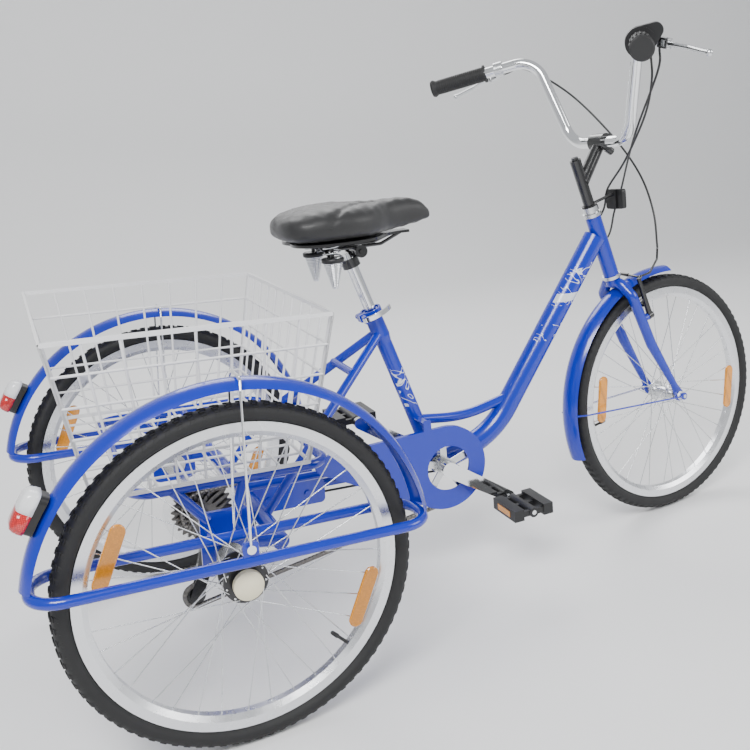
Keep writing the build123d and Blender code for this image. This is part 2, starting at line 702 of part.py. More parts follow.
# ---- derailleur: body on the hanger, and the sprung cage with its two pulleys ----
guide_axle = at(guide[0], 0, guide[1])
tension_axle = at(tension[0], 0, tension[1])
hanger_bolt = at(-3, 0, 246)
with BuildPart() as derailleur_body:
    add(disc(hanger_bolt, 9, -92, -85.4))
    add(disc(hanger_bolt, 13, -80.6, -66))
    add(disc(hanger_bolt, 4, -90, -70))
    with BuildSketch(Plane(origin=at(0, -80.6, 0), x_dir=(1, 0, 0), z_dir=(0, 1, 0))):
        with Locations((hanger_bolt.X - rear_axle_station, -hanger_bolt.Z)):
            Circle(13)
        with Locations((guide[0] - 8, -guide[1] - 4)):
            Circle(15)
        make_hull()
    extrude(amount=13)
    add(disc(guide_axle, 13, -80.6, -61.4))
    add(disc(guide_axle, 3.5, -61.4, -43.5))
save(derailleur_body.part, "derailleur_body")

with BuildPart() as derailleur_cage:
    for low in (-61, -48.4):
        with BuildSketch(Plane(origin=at(0, low, 0), x_dir=(1, 0, 0), z_dir=(0, 1, 0))):
            with Locations((guide[0], -guide[1])):
                Circle(12)
            with Locations((tension[0], -tension[1])):
                Circle(12)
            make_hull()
        extrude(amount=1.6)
    for axle in (guide_axle, tension_axle):
        add(disc(axle, 19, chain_y - 1.1, chain_y + 1.1))
        add(disc(axle, 6, -61, -46.8))
    add(disc(guide_axle, 3.5 + running, -62, -46), mode=Mode.SUBTRACT)
save(derailleur_cage.part, "derailleur_cage")

# ---- chainring on its spider, cranks and pedals ----
with BuildPart() as chainring:
    add(sprocket(bracket, chainring_teeth, chain_y - 1.25, chain_y + 1.25, 62))
    add(disc(bracket, 20, -60.5, -50, bore=axle_radius))
    for arm in range(5):
        turn = radians(90 + arm * 72)
        outwards = Vector(cos(turn), 0, sin(turn))
        middle = bracket + outwards * 42 + Vector(0, -58.5, 0)
        with BuildSketch(Plane(origin=middle, x_dir=outwards, z_dir=(0, 1, 0))):
            RectangleRounded(60, 15, 6)
        extrude(amount=3.3)
        add(disc(bracket + outwards * 66, 5, -59.5, -52.8))
save(chainring.part, "chainring")

crank_out = Vector(cos(crank_drop), 0, -sin(crank_drop))
right_pedal_axle = bracket + crank_out * crank_length
left_pedal_axle = bracket - crank_out * crank_length
pedal_pin_radius = 5.0
with BuildPart() as cranks:
    add(disc(bracket, axle_radius, -88, 76))
    for axle, low, high, end in ((right_pedal_axle, -88, -76, -196), (left_pedal_axle, 64, 76, 184)):
        with BuildSketch(Plane(origin=(rear_axle_station, low, 0), x_dir=(1, 0, 0), z_dir=(0, 1, 0))):
            with Locations((bracket_x, -bracket_z)):
                Circle(17)
            with Locations((axle.X - rear_axle_station, -axle.Z)):
                Circle(13)
            make_hull()
        extrude(amount=high - low)
        add(disc(axle, pedal_pin_radius, min(low, end), max(high, end)))
save(cranks.part, "cranks")


def pedal(axle, inner, outer):
    """A platform pedal: a barrel on the pin between two rubber treads and end plates."""
    low, high = sorted((inner, outer))
    middle = axle + Vector(0, (low + high) / 2 - axle.Y, 0)
    with BuildPart() as body:
        add(disc(axle, 11, low, high))
        for station in (-36, 36):
            with Locations(middle + Vector(station, 0, 0)):
                Box(23, high - low, 25)
        for left in (low + 6, (low + high) / 2, high - 6):
            with Locations((axle.X, left, axle.Z)):
                Box(56, 9, 12)
        add(disc(axle, pedal_pin_radius + running, low - 1, high + 1), mode=Mode.SUBTRACT)
    return body.part


save(pedal(right_pedal_axle, -100, -195), "right_pedal")
save(pedal(left_pedal_axle, 88, 183), "left_pedal")

# ---- fork ----
crown = on_steering(0, 0, -22.5)
steerer_top = 178.0
with BuildPart() as fork:
    add(taper(on_steering(0, 0, -30), on_steering(0, 0, steerer_top), steerer_radius, steerer_radius))
    add(taper(on_steering(0, 0, -24), on_steering(0, 0, -8.4), 18, 18))
    bend = [crown, crown + Vector(0, 22, 0), at(1038, 50, 572), at(1094, 48, 445)]
    for side in (-1, 1):
        add(tube([Vector(p.X, p.Y * side, p.Z) for p in bend], 12.7, 14))
        blade, tip = at(1094, side * 48, 445), at(1176.8, side * 54, wheel_radius)
        with Locations(blade):
            Sphere(12.7)
        add(taper(blade, blade + (tip - blade) * 0.86, 12.7, 8))
        low, high = sorted((side * 50, side * 54))
        with BuildSketch(Plane(origin=at(0, low, 0), x_dir=(1, 0, 0), z_dir=(0, 1, 0))):
            with Locations((wheelbase, -wheel_radius)):
                Circle(14)
            with Locations((wheelbase - 16, -wheel_radius - 28)):
                Circle(9)
            make_hull()
        extrude(amount=high - low)
        boss = at(1066, side * 48, 508)
        add(taper(boss, boss + steer_forward * 21.5, 8, 8))
        add(taper(boss + steer_forward * 20, boss + steer_forward * 38, 4, 4))
    add(disc(front_centre, front_axle_radius + running, -60, 60), mode=Mode.SUBTRACT)
save(turned(fork.part), "fork")

# ---- headset locknut and stem ----
with BuildPart() as headset_locknut:
    for low, high, radius in ((8.4, 13, 17), (13, 24, 19)):
        add(taper(on_steering(0, 0, head_tube_length + low), on_steering(0, 0, head_tube_length + high),
                  radius, radius))
    add(taper(on_steering(0, 0, head_tube_length), on_steering(0, 0, head_tube_length + 40),
              steerer_radius + 0.02, steerer_radius + 0.02), mode=Mode.SUBTRACT)
save(turned(headset_locknut.part), "headset_locknut")

bar_middle = at(1010, 0, 934.5)
quill_top = 290.0
with BuildPart() as stem:
    add(taper(on_steering(0, 0, steerer_top + 0.2), on_steering(0, 0, quill_top), 13, 13))
    add(taper(on_steering(0, 0, quill_top), on_steering(0, 0, quill_top + 6), 8, 8))
    add(taper(on_steering(2, 0, 236), bar_middle, 15, 14))
    add(disc(bar_middle, 20, -22, 22))
    add(taper(bar_middle + Vector(14, 0, -12), bar_middle + Vector(34, 0, -24), 9, 9))
    add(disc(bar_middle, bar_radius + 0.02, -30, 30), mode=Mode.SUBTRACT)
save(turned(stem.part), "stem")

# ---- handlebar, grips and twist shifter ----
grip_end = at(800, 360, 1100)
bar_corner = at(975.5, 175, 1144)
bar_foot = at(1010, 94, 934.5)


def mirrored(point):
    return Vector(point.X, -point.Y, point.Z)


with BuildPart() as handlebar:
    add(tube([mirrored(grip_end), mirrored(bar_corner), mirrored(bar_foot), bar_foot, bar_corner, grip_end],
             bar_radius, 62))
save(turned(handlebar.part), "handlebar")

bar_along = {1: (grip_end - bar_corner).normalized()}
bar_along[-1] = mirrored(bar_along[1])
bar_end = {1: grip_end, -1: mirrored(grip_end)}


def sleeve(side, inner, outer, radius, outer_radius, bore=bar_radius + 0.02):
    """A ring round the handlebar between two distances in from its end."""
    start = bar_end[side] - bar_along[side] * inner
    finish = bar_end[side] - bar_along[side] * outer
    with BuildPart() as ring:
        add(taper(start, finish, radius, outer_radius))
        if bore:
            margin = bar_along[side] * 5
            add(taper(start - margin, finish + margin, bore, bore), mode=Mode.SUBTRACT)
    return ring.part


with BuildPart() as grips:
    add(sleeve(1, 130, 0.02, 17, 17))
    add(sleeve(1, 134, 130, 21, 21))
    add(sleeve(1, 8, 0.02, 17, 21))
    add(sleeve(1, 0.02, -5, 21, 19, bore=0))
    add(sleeve(-1, 56, 0.02, 19, 20))
    add(sleeve(-1, 8, 0.02, 20, 24))
    add(sleeve(-1, 0.02, -5, 24, 21, bore=0))
save(turned(grips.part), "grips")

with BuildPart() as twist_shifter:
    add(sleeve(-1, 126, 56.5, 22, 20, bore=bar_radius + running))
    for rib in range(16):
        turn = Plane(origin=bar_end[-1] - bar_along[-1] * 114, z_dir=bar_along[-1])
        spot = turn.from_local_coords(Vector(21 * cos(pi * rib / 8), 21 * sin(pi * rib / 8), 0))
        add(taper(spot, spot + bar_along[-1] * 48, 2, 2))
save(turned(twist_shifter.part), "twist_shifter")

# ---- brake levers on their brackets; the right one also carries the shifter's housing ----
lever_pivots, lever_tips, lever_axes = {}, {}, {}
for side in (-1, 1):
    lever_pivots[side] = at(930, side * 300, 1115)
    lever_tips[side] = at(905, side * 430, 1080)
    reach = (lever_tips[side] - lever_pivots[side]).normalized()
    middle = (lever_tips[side] + lever_pivots[side]) * 0.5
    nearest = bar_end[side] + bar_along[side] * (middle - bar_end[side]).dot(bar_along[side])
    lever_axes[side] = reach.cross(nearest - middle).normalized()


def lever_ears(side):
    """Two ears either side of the lever, with its pin between them."""
    pivot, axis = lever_pivots[side], lever_axes[side]
    reach = (lever_tips[side] - pivot).normalized()
    with BuildPart() as ears:
        with BuildSketch(Plane(origin=pivot - axis * 10, x_dir=reach, z_dir=axis)):
            Circle(8)
            with Locations((-22, 0)):
                Circle(8)
            make_hull()
        extrude(amount=20)
        with BuildSketch(Plane(origin=pivot - axis * 6.4, x_dir=reach, z_dir=axis)):
            with Locations((1, 0)):
                Rectangle(24, 30)
        extrude(amount=12.8, mode=Mode.SUBTRACT)
        add(taper(pivot - axis * 11, pivot + axis * 11, 3, 3))
    return ears.part


with BuildPart() as lever_brackets:
    for side, inner, outer in ((1, 178, 158), (-1, 190, 170)):
        add(sleeve(side, inner, outer, 18, 18))
        ring = bar_end[side] - bar_along[side] * (inner + outer) / 2
        reach = (lever_tips[side] - lever_pivots[side]).normalized()
        root = ring + (lever_pivots[side] - ring).normalized() * 15.5
        add(taper(root, lever_pivots[side] - reach * 20, 7, 7))
        add(lever_ears(side))
save(turned(lever_brackets.part), "lever_brackets")

with BuildPart() as shifter_housing:
    add(sleeve(-1, 158, 127, 30, 30))
    middle = bar_end[-1] - bar_along[-1] * 142
    bulge = Plane(origin=middle - bar_along[-1] * 14, x_dir=(0, 0, 1), z_dir=bar_along[-1])
    with BuildSketch(bulge):
        Circle(30)
        with Locations(tuple(bulge.to_local_coords(middle + Vector(22, -22, 20)))[:2]):
            Circle(15)
        make_hull()
        Circle(bar_radius + 1, mode=Mode.SUBTRACT)
    extrude(amount=26)
save(turned(shifter_housing.part), "shifter_housing")

for side, name in ((1, "left"), (-1, "right")):
    pivot, tip, axis = lever_pivots[side], lever_tips[side], lever_axes[side]
    reach = (tip - pivot).normalized()
    outwards = axis.cross(reach)
    knee = pivot + reach * 62 - outwards * 5
    with BuildPart() as lever:
        add(taper(pivot - axis * 6, pivot + axis * 6, 7, 7))
        add(tube([pivot, pivot + reach * 24, knee, tip - reach * 6], 5, 18))
        with Locations(tip - reach * 6):
            Sphere(7)
        add(taper(pivot - axis * 12, pivot + axis * 12, 3 + running, 3 + running), mode=Mode.SUBTRACT)
    save(turned(lever.part), f"{name}_brake_lever")

# ---- front mudguard, its stays, and the front reflector on its bracket ----
front_guard_ends = (radians(86.6), radians(198.7))
with BuildPart() as front_fender:
    add(mudguard(front_centre, 322, 310, 27, *front_guard_ends))
    for side in (-1, 1):
        foot = at(wheelbase - 6, side * 68.5, wheel_radius)
        add(tube([foot, foot + Vector(-22, -side * 3, 1), at(890, side * 33, 310), at(866, side * 26.5, 312)],
                 2, 8))
        low, high = sorted((side * 66.3, side * 70))
        add(disc(front_centre, 9, low, high, bore=front_axle_radius + 0.02))
save(turned(front_fender.part), "front_fender")

with BuildPart() as front_reflector:
    add(tube([at(981, 0, 798), at(1012, 0, 806), at(1040, 0, 812)], 3.5, 8))
    with Locations(at(1042, 0, 800)):
        Box(4, 18, 46)
    with BuildSketch(Plane(origin=at(1044.2, 0, 800), x_dir=(0, 1, 0), z_dir=(1, 0, 0))):
        RectangleRounded(56, 46, 6)
    extrude(amount=12)
    with BuildSketch(Plane(origin=on_steering(0, 0, head_tube_length + 24.2), x_dir=steer_forward,
                           z_dir=steer_up)):
        Circle(18)
        with Locations((16, 0)):
            Rectangle(20, 12)
        Circle(13.4, mode=Mode.SUBTRACT)
    extrude(amount=2.4)
save(turned(front_reflector.part), "front_reflector")

# ---- front brake: two arms on the fork's bosses, noodle and boot ----
arm_root = {side: at(1066, side * 48, 508) + steer_forward * 29 for side in (-1, 1)}
wheel_tangent = (front_centre - (arm_root[1] + steer_up * 25)).cross(Vector(0, 1, 0)).normalized()


def brake_arm(side):
    pivot = arm_root[side]
    shoe = pivot + steer_up * 25
    with BuildPart() as arm:
        add(taper(pivot - steer_forward * 7, pivot + steer_forward * 7, 9, 9))
        add(taper(pivot + steer_up * 5, pivot + steer_up * 99, 7.5, 5))
        add(taper(shoe, shoe - Vector(0, side * 24, 0), 3.5, 3.5))
        with BuildSketch(Plane(origin=shoe - Vector(0, side * 21.5, 0), x_dir=wheel_tangent,
                               z_dir=(0, -side, 0))):
            RectangleRounded(55, 10, 4)
        extrude(amount=10)
        add(taper(pivot - steer_forward * 9, pivot + steer_forward * 12, 4 + running, 4 + running),
            mode=Mode.SUBTRACT)
    return arm.part


noodle_foot = arm_root[-1] + steer_up * 94
with BuildPart() as right_brake_arm:
    add(brake_arm(-1))
    entry = at(1122, -55, 675)
    add(tube([entry, at(1118, -56, 650), noodle_foot + Vector(30, -6, 14), noodle_foot + Vector(6, 8, 6),
              at(1076, 0, 614)], 2.6, 9))
    add(taper(noodle_foot, noodle_foot + Vector(10, 4, 8), 4, 4))
    add(taper(at(1076, 0, 614), at(1074, 33, 616), 4.5, 3.2))
save(turned(right_brake_arm.part), "right_brake_arm")
save(turned(brake_arm(1)), "left_brake_arm")


# ---- cables ----


def cable(points, radius=2.5):
    """Cable housing along straight runs, with arcs as large as the runs leave room for."""
    bends = []
    for before, corner, after in zip(points, points[1:], points[2:]):
        shorter_run = min((corner - before).length, (after - corner).length)
        half_turn = radians((corner - before).get_angle(after - corner)) / 2
        bends.append(0.45 * shorter_run / tan(half_turn))
    return tube(points, radius, bends)


def curved(points, runs):
    """Evenly spaced points along a smooth curve through the given ones."""
    with BuildLine() as guide_line:
        Spline(*points)
    return [guide_line.line @ (step / runs) for step in range(runs + 1)]


def turned_point(point):
    return Vertex(*point).rotate(steering_axis, bar_turn).center()


front_brake_route = [at(948, 262, 1120), at(1005, 250, 1128), at(1098, 200, 1060), at(1150, 110, 948),
                     at(1150, 20, 850), at(1135, -35, 760), at(1122.5, -55, 675.6)]
save(turned(cable(curved(front_brake_route, 11))), "front_brake_cable")

shift_stop, brake_stop = at(962, 34, 700), at(952, 34, 686)
shift_route = [turned_point(at(921, -262, 1100)), at(952, -255, 1060), at(976, -200, 991), at(1005, -90, 896),
               at(1022, -6, 838), at(1026, 17, 814), at(1024, 31, 770), shift_stop]
brake_route = [turned_point(at(944, -264, 1112)), at(972, -250, 1078), at(1018, -120, 968),
               at(1066, -20, 895), at(1106, 65, 817), at(1096, 82, 762), at(1046, 50, 701), brake_stop]
with BuildPart() as upper_cables:
    add(cable(curved(shift_route, 11)))
    add(cable(curved(brake_route, 12)))
save(upper_cables.part, "upper_cables")

with BuildPart() as lower_cables:
    for stop in (shift_stop, brake_stop):
        add(taper(stop - Vector(2.2, 0, 3), stop - Vector(9, 0, 12.5), 4.2, 4.2))
    add(cable([at(953, 34, 687.5), at(930, 31, 656), at(700, 30.5, 338), at(640, 28, 296), at(560, 6, 236),
               at(500, -26, 255), at(300, -30, 269), at(125, -31, 279), at(80, -60, 238), at(18, -74, 220),
               at(-6, -73, 212)]))
    add(cable([at(943, 34, 673.5), at(922, 31, 643), at(698, 30.5, 328), at(632, 29, 284), at(560, 20, 240),
               at(500, 28, 256), at(300, 32, 270), at(150, 47, 284)]))
save(lower_cables.part, "lower_cables")
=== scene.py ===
import math

import bmesh
import bpy
from mathutils import Matrix, Vector


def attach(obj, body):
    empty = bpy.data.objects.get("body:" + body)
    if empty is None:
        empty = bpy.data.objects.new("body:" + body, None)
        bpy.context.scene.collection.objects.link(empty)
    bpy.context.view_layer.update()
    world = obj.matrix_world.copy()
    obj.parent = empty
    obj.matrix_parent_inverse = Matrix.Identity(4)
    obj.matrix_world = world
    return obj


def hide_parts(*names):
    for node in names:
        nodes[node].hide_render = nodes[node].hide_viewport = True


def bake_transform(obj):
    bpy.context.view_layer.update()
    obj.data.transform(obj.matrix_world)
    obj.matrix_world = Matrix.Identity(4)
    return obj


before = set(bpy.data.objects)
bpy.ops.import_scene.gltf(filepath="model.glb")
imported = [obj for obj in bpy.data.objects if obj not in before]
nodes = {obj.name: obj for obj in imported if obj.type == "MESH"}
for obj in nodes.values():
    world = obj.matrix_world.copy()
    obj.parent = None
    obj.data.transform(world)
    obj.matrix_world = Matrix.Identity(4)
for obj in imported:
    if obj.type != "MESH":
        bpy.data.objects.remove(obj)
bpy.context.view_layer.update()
print("stage: frame loaded")

# Stations run forwards from the rear axle, in millimetres; the row's frame is in metres
rearAxleStation = -570
headBottom = (1021, 0, 624)
headAngle = math.radians(72)
barTurn = math.radians(7.3)
wheelRadius = 0.300
trackHalf = 0.3644
carrierTilt = math.radians(2.8)


def at(x, y, z):
    return Vector(((x + rearAxleStation) / 1000, y / 1000, z / 1000))


steerFoot = at(*headBottom)
steerUp = Vector((-math.cos(headAngle), 0, math.sin(headAngle)))
turnMatrix = Matrix.Translation(steerFoot) @ Matrix.Rotation(barTurn, 4, steerUp) @ Matrix.Translation(-steerFoot)
rearCentre = at(0, 0, 300)
tiltMatrix = Matrix.Translation(rearCentre) @ Matrix.Rotation(carrierTilt, 4, "Y") @ Matrix.Translation(-rearCentre)
frontCentre = at(1176.8, 0, 300)
wheelPlaces = {"rear_left": (Matrix.Translation(rearCentre + Vector((0, trackHalf, 0))), "rear_left_wheel"),
               "rear_right": (Matrix.Translation(rearCentre - Vector((0, trackHalf, 0))), "rear_right_wheel"),
               "front": (turnMatrix @ Matrix.Translation(frontCentre), "front_wheel")}


# ---- shared shader groups ----

def newGroup(name, inputs, outputs):
    group = bpy.data.node_groups.new(name, "ShaderNodeTree")
    for label, kind, value in inputs:
        socket = group.interface.new_socket(label, in_out="INPUT", socket_type=kind)
        socket.default_value = value
    for label, kind in outputs:
        group.interface.new_socket(label, in_out="OUTPUT", socket_type=kind)
    return group, group.nodes.new("NodeGroupInput"), group.nodes.new("NodeGroupOutput")


def addNode(tree, kind, **values):
    node = tree.nodes.new(kind)
    for key, value in values.items():
        if hasattr(node, key):
            setattr(node, key, value)
        else:
            node.inputs[key.replace("_", " ")].default_value = value
    return node


def mathNode(tree, operation, first, second=None):
    node = tree.nodes.new("ShaderNodeMath")
    node.operation = operation
    for index, value in enumerate((first, second)):
        if value is None:
            continue
        if isinstance(value, (int, float)):
            node.inputs[index].default_value = value
        else:
            tree.links.new(value, node.inputs[index])
    return node.outputs[0]


def mixColor(tree, factor, first, second, blend="MIX"):
    node = tree.nodes.new("ShaderNodeMix")
    node.data_type = "RGBA"
    node.blend_type = blend
    for socket, value in ((node.inputs[0], factor), (node.inputs[6], first), (node.inputs[7], second)):
        if isinstance(value, (int, float, tuple)):
            socket.default_value = value
        else:
            tree.links.new(value, socket)
    return node.outputs[2]


def ramp(tree, value, low, high):
    node = tree.nodes.new("ShaderNodeMapRange")
    node.inputs["From Min"].default_value = low
    node.inputs["From Max"].default_value = high
    tree.links.new(value, node.inputs["Value"])
    return node.outputs[0]


def makeFineSurface():
    # Cloudy tint, uneven gloss and orange peel, used by every paint, metal and plastic
    group, inside, outside = newGroup(
        "fineSurface",
        [("Color", "NodeSocketColor", (1, 1, 1, 1)), ("Tint Spread", "NodeSocketFloat", 0.1),
         ("Cloud Scale", "NodeSocketFloat", 18), ("Roughness", "NodeSocketFloat", 0.3),
         ("Roughness Spread", "NodeSocketFloat", 0.1), ("Peel Scale", "NodeSocketFloat", 500)],
        [("Color", "NodeSocketColor"), ("Roughness", "NodeSocketFloat"), ("Height", "NodeSocketFloat")])
    place = group.nodes.new("ShaderNodeTexCoord").outputs["Object"]
    cloud = addNode(group, "ShaderNodeTexNoise", Detail=4)
    peel = addNode(group, "ShaderNodeTexNoise", Detail=2)
    group.links.new(place, cloud.inputs["Vector"])
    group.links.new(place, peel.inputs["Vector"])
    group.links.new(inside.outputs["Cloud Scale"], cloud.inputs["Scale"])
    group.links.new(inside.outputs["Peel Scale"], peel.inputs["Scale"])
    centred = mathNode(group, "SUBTRACT", cloud.outputs[0], 0.5)
    shade = mathNode(group, "ADD", mathNode(group, "MULTIPLY", centred, inside.outputs["Tint Spread"]), 1)
    tinted = group.nodes.new("ShaderNodeVectorMath")
    tinted.operation = "SCALE"
    group.links.new(inside.outputs["Color"], tinted.inputs[0])
    group.links.new(shade, tinted.inputs["Scale"])
    rough = mathNode(group, "ADD", inside.outputs["Roughness"],
                     mathNode(group, "MULTIPLY", centred, inside.outputs["Roughness Spread"]))
    group.links.new(tinted.outputs[0], outside.inputs["Color"])
    group.links.new(rough, outside.inputs["Roughness"])
    group.links.new(peel.outputs[0], outside.inputs["Height"])
    return group


def makeGrain():
    # Pebbled skin of vinyl and moulded rubber
    group, inside, outside = newGroup(
        "pebbleGrain", [("Pebble Scale", "NodeSocketFloat", 400), ("Crease Scale", "NodeSocketFloat", 60)],
        [("Height", "NodeSocketFloat"), ("Pores", "NodeSocketFloat")])
    place = group.nodes.new("ShaderNodeTexCoord").outputs["Object"]
    pebble = addNode(group, "ShaderNodeTexVoronoi", feature="SMOOTH_F1")
    crease = addNode(group, "ShaderNodeTexNoise", Detail=6)
    for node, name in ((pebble, "Pebble Scale"), (crease, "Crease Scale")):
        group.links.new(place, node.inputs["Vector"])
        group.links.new(inside.outputs[name], node.inputs["Scale"])
    height = mathNode(group, "ADD", pebble.outputs["Distance"], mathNode(group, "MULTIPLY", crease.outputs[0], 0.6))
    group.links.new(height, outside.inputs["Height"])
    group.links.new(ramp(group, pebble.outputs["Distance"], 0.1, 0.6), outside.inputs["Pores"])
    return group


fineSurface = makeFineSurface()
pebbleGrain = makeGrain()


def finish(name, color, rough, metallic=0.0, coat=0.0, spread=0.08, roughSpread=0.08, cloud=18, peel=500,
           peelDepth=0.0004, grain=None, transmission=0.0, sheen=0.0):
    material = bpy.data.materials.new(name)
    material.use_nodes = True
    tree = material.node_tree
    shader = tree.nodes["Principled BSDF"]
    surface = tree.nodes.new("ShaderNodeGroup")
    surface.node_tree = fineSurface
    for label, value in (("Color", (*color, 1)), ("Tint Spread", spread), ("Cloud Scale", cloud),
                         ("Roughness", rough), ("Roughness Spread", roughSpread), ("Peel Scale", peel)):
        surface.inputs[label].default_value = value
    tree.links.new(surface.outputs["Color"], shader.inputs["Base Color"])
    tree.links.new(surface.outputs["Roughness"], shader.inputs["Roughness"])
    bump = tree.nodes.new("ShaderNodeBump")
    bump.inputs["Distance"].default_value = peelDepth
    bump.inputs["Strength"].default_value = 0.35
    if grain:
        pebbles = tree.nodes.new("ShaderNodeGroup")
        pebbles.node_tree = pebbleGrain
        pebbles.inputs["Pebble Scale"].default_value = grain
        tree.links.new(pebbles.outputs["Height"], bump.inputs["Height"])
        bump.inputs["Strength"].default_value = 0.6
    else:
        tree.links.new(surface.outputs["Height"], bump.inputs["Height"])
    tree.links.new(bump.outputs[0], shader.inputs["Normal"])
    shader.inputs["Metallic"].default_value = metallic
    shader.inputs["Coat Weight"].default_value = coat
    shader.inputs["Coat Roughness"].default_value = 0.04
    shader.inputs["Transmission Weight"].default_value = transmission
    shader.inputs["Sheen Weight"].default_value = sheen
    return material


bluePaint = finish("bluePaint", (0.0006, 0.018, 0.40), 0.22, coat=0.45, spread=0.1, cloud=9)
chrome = finish("chrome", (0.86, 0.87, 0.88), 0.07, metallic=1.0, spread=0.04, roughSpread=0.05, peelDepth=0.0001)
brightSteel = finish("brightSteel", (0.68, 0.69, 0.70), 0.24, metallic=1.0, roughSpread=0.18, cloud=60)
rimAluminium = finish("rimAluminium", (0.80, 0.81, 0.83), 0.28, metallic=1.0, roughSpread=0.12, cloud=40)
blackPaint = finish("blackPaint", (0.006, 0.006, 0.0065), 0.24, coat=0.6, cloud=12)
blackPlastic = finish("blackPlastic", (0.010, 0.010, 0.011), 0.42, roughSpread=0.16, peel=900)
hubBlack = finish("hubBlack", (0.018, 0.018, 0.020), 0.34, coat=0.2)
tyreRubber = finish("tyreRubber", (0.010, 0.010, 0.0105), 0.66, roughSpread=0.2, spread=0.3, cloud=40, grain=700,
                    peelDepth=0.0003)
gripRubber = finish("gripRubber", (0.014, 0.014, 0.0145), 0.62, grain=900, peelDepth=0.0003)
saddleVinyl = finish("saddleVinyl", (0.014, 0.014, 0.0145), 0.5, coat=0.05, grain=520, peelDepth=0.0005, sheen=0.1)
creamPlastic = finish("creamPlastic", (0.78, 0.72, 0.52), 0.34, coat=0.2)
whiteCoating = finish("whiteCoating", (0.82, 0.82, 0.82), 0.36, coat=0.25, cloud=30)
cableBlack = finish("cableBlack", (0.015, 0.015, 0.016), 0.38)
sprocketSteel = finish("sprocketSteel", (0.22, 0.21, 0.20), 0.36, metallic=1.0, roughSpread=0.25, cloud=90)
lampWhite = finish("lampWhite", (0.83, 0.84, 0.85), 0.18, coat=0.6)


def makeReflex(name, color):
    # Moulded prisms seen through a smooth coloured face
    material = finish(name, color, 0.16, coat=0.8)
    tree = material.node_tree
    shader = tree.nodes["Principled BSDF"]
    place = tree.nodes.new("ShaderNodeTexCoord").outputs["Object"]
    prisms = addNode(tree, "ShaderNodeTexVoronoi", feature="DISTANCE_TO_EDGE")
    prisms.inputs["Scale"].default_value = 330
    prisms.inputs["Randomness"].default_value = 0.15
    tree.links.new(place, prisms.inputs["Vector"])
    edges = ramp(tree, prisms.outputs["Distance"], 0.0, 0.3)
    shaded = mixColor(tree, edges, tuple(c * 0.45 for c in color) + (1,), (*color, 1))
    tree.links.new(shaded, shader.inputs["Base Color"])
    return material


amberReflex = makeReflex("amberReflex", (0.98, 0.36, 0.004))
redReflex = makeReflex("redReflex", (0.72, 0.02, 0.02))


def makeFramePaint():
    # The blue enamel with its pale wavy transfer on the two main tubes
    material = finish("framePaint", (0.0006, 0.018, 0.40), 0.22, coat=0.45, spread=0.1, cloud=9)
    tree = material.node_tree
    shader = tree.nodes["Principled BSDF"]
    painted = shader.inputs["Base Color"].links[0].from_socket
    place = tree.nodes.new("ShaderNodeTexCoord").outputs["Object"]
    split = tree.nodes.new("ShaderNodeSeparateXYZ")
    tree.links.new(place, split.inputs[0])
    scrolls = addNode(tree, "ShaderNodeTexNoise", Scale=34, Detail=0, Distortion=1.6)
    tree.links.new(place, scrolls.inputs["Vector"])
    contour = mathNode(tree, "ABSOLUTE", mathNode(tree, "SUBTRACT", scrolls.outputs[0], 0.5))
    lines = ramp(tree, contour, 0.034, 0.022)
    ringed = mathNode(tree, "ABSOLUTE", mathNode(tree, "SUBTRACT", split.outputs["Z"], 0.592))
    lines = mathNode(tree, "MAXIMUM", lines, mathNode(tree, "LESS_THAN", ringed, 0.009))
    window = None
    for low, high, rear, front in ((0.575, 0.665, 0.26, 0.42), (0.500, 0.535, 0.20, 0.30),
                                   (0.410, 0.500, -0.16, -0.06)):
        band = mathNode(tree, "MULTIPLY", mathNode(tree, "GREATER_THAN", split.outputs["Z"], low),
                        mathNode(tree, "LESS_THAN", split.outputs["Z"], high))
        reach = mathNode(tree, "MULTIPLY", mathNode(tree, "GREATER_THAN", split.outputs["X"], rear),
                         mathNode(tree, "LESS_THAN", split.outputs["X"], front))
        band = mathNode(tree, "MULTIPLY", band, reach)
        window = band if window is None else mathNode(tree, "MAXIMUM", window, band)
    sideOnly = mathNode(tree, "GREATER_THAN", mathNode(tree, "ABSOLUTE", split.outputs["Y"]), 0.008)
    mask = mathNode(tree, "MULTIPLY", mathNode(tree, "MULTIPLY", lines, window), sideOnly)
    tree.links.new(mixColor(tree, mask, painted, (0.70, 0.73, 0.78, 1)), shader.inputs["Base Color"])
    return material


framePaint = makeFramePaint()

def makeFreewheelSteel():
    # Dark oiled sprockets; the guard disc inboard of them is clear plastic
    material = finish("freewheelSteel", (0.13, 0.125, 0.12), 0.34, metallic=1.0, roughSpread=0.25, cloud=90)
    tree = material.node_tree
    place = tree.nodes.new("ShaderNodeTexCoord").outputs["Object"]
    split = tree.nodes.new("ShaderNodeSeparateXYZ")
    tree.links.new(place, split.inputs[0])
    along = mathNode(tree, "ABSOLUTE", mathNode(tree, "ADD", split.outputs["Y"], 0.0335))
    fromAxleX = mathNode(tree, "SUBTRACT", split.outputs["X"], rearCentre.x)
    fromAxleZ = mathNode(tree, "SUBTRACT", split.outputs["Z"], rearCentre.z)
    reach = mathNode(tree, "SQRT", mathNode(tree, "ADD", mathNode(tree, "MULTIPLY", fromAxleX, fromAxleX),
                                            mathNode(tree, "MULTIPLY", fromAxleZ, fromAxleZ)))
    disc = mathNode(tree, "MULTIPLY", mathNode(tree, "LESS_THAN", along, 0.0013),
                    mathNode(tree, "GREATER_THAN", reach, 0.023))
    shader = tree.nodes["Principled BSDF"]
    tree.links.new(mathNode(tree, "SUBTRACT", 1, mathNode(tree, "MULTIPLY", disc, 0.84)), shader.inputs["Alpha"])
    tree.links.new(mathNode(tree, "SUBTRACT", 1, disc), shader.inputs["Metallic"])
    painted = shader.inputs["Base Color"].links[0].from_socket
    tree.links.new(mixColor(tree, disc, painted, (0.86, 0.88, 0.88, 1)), shader.inputs["Base Color"])
    return material


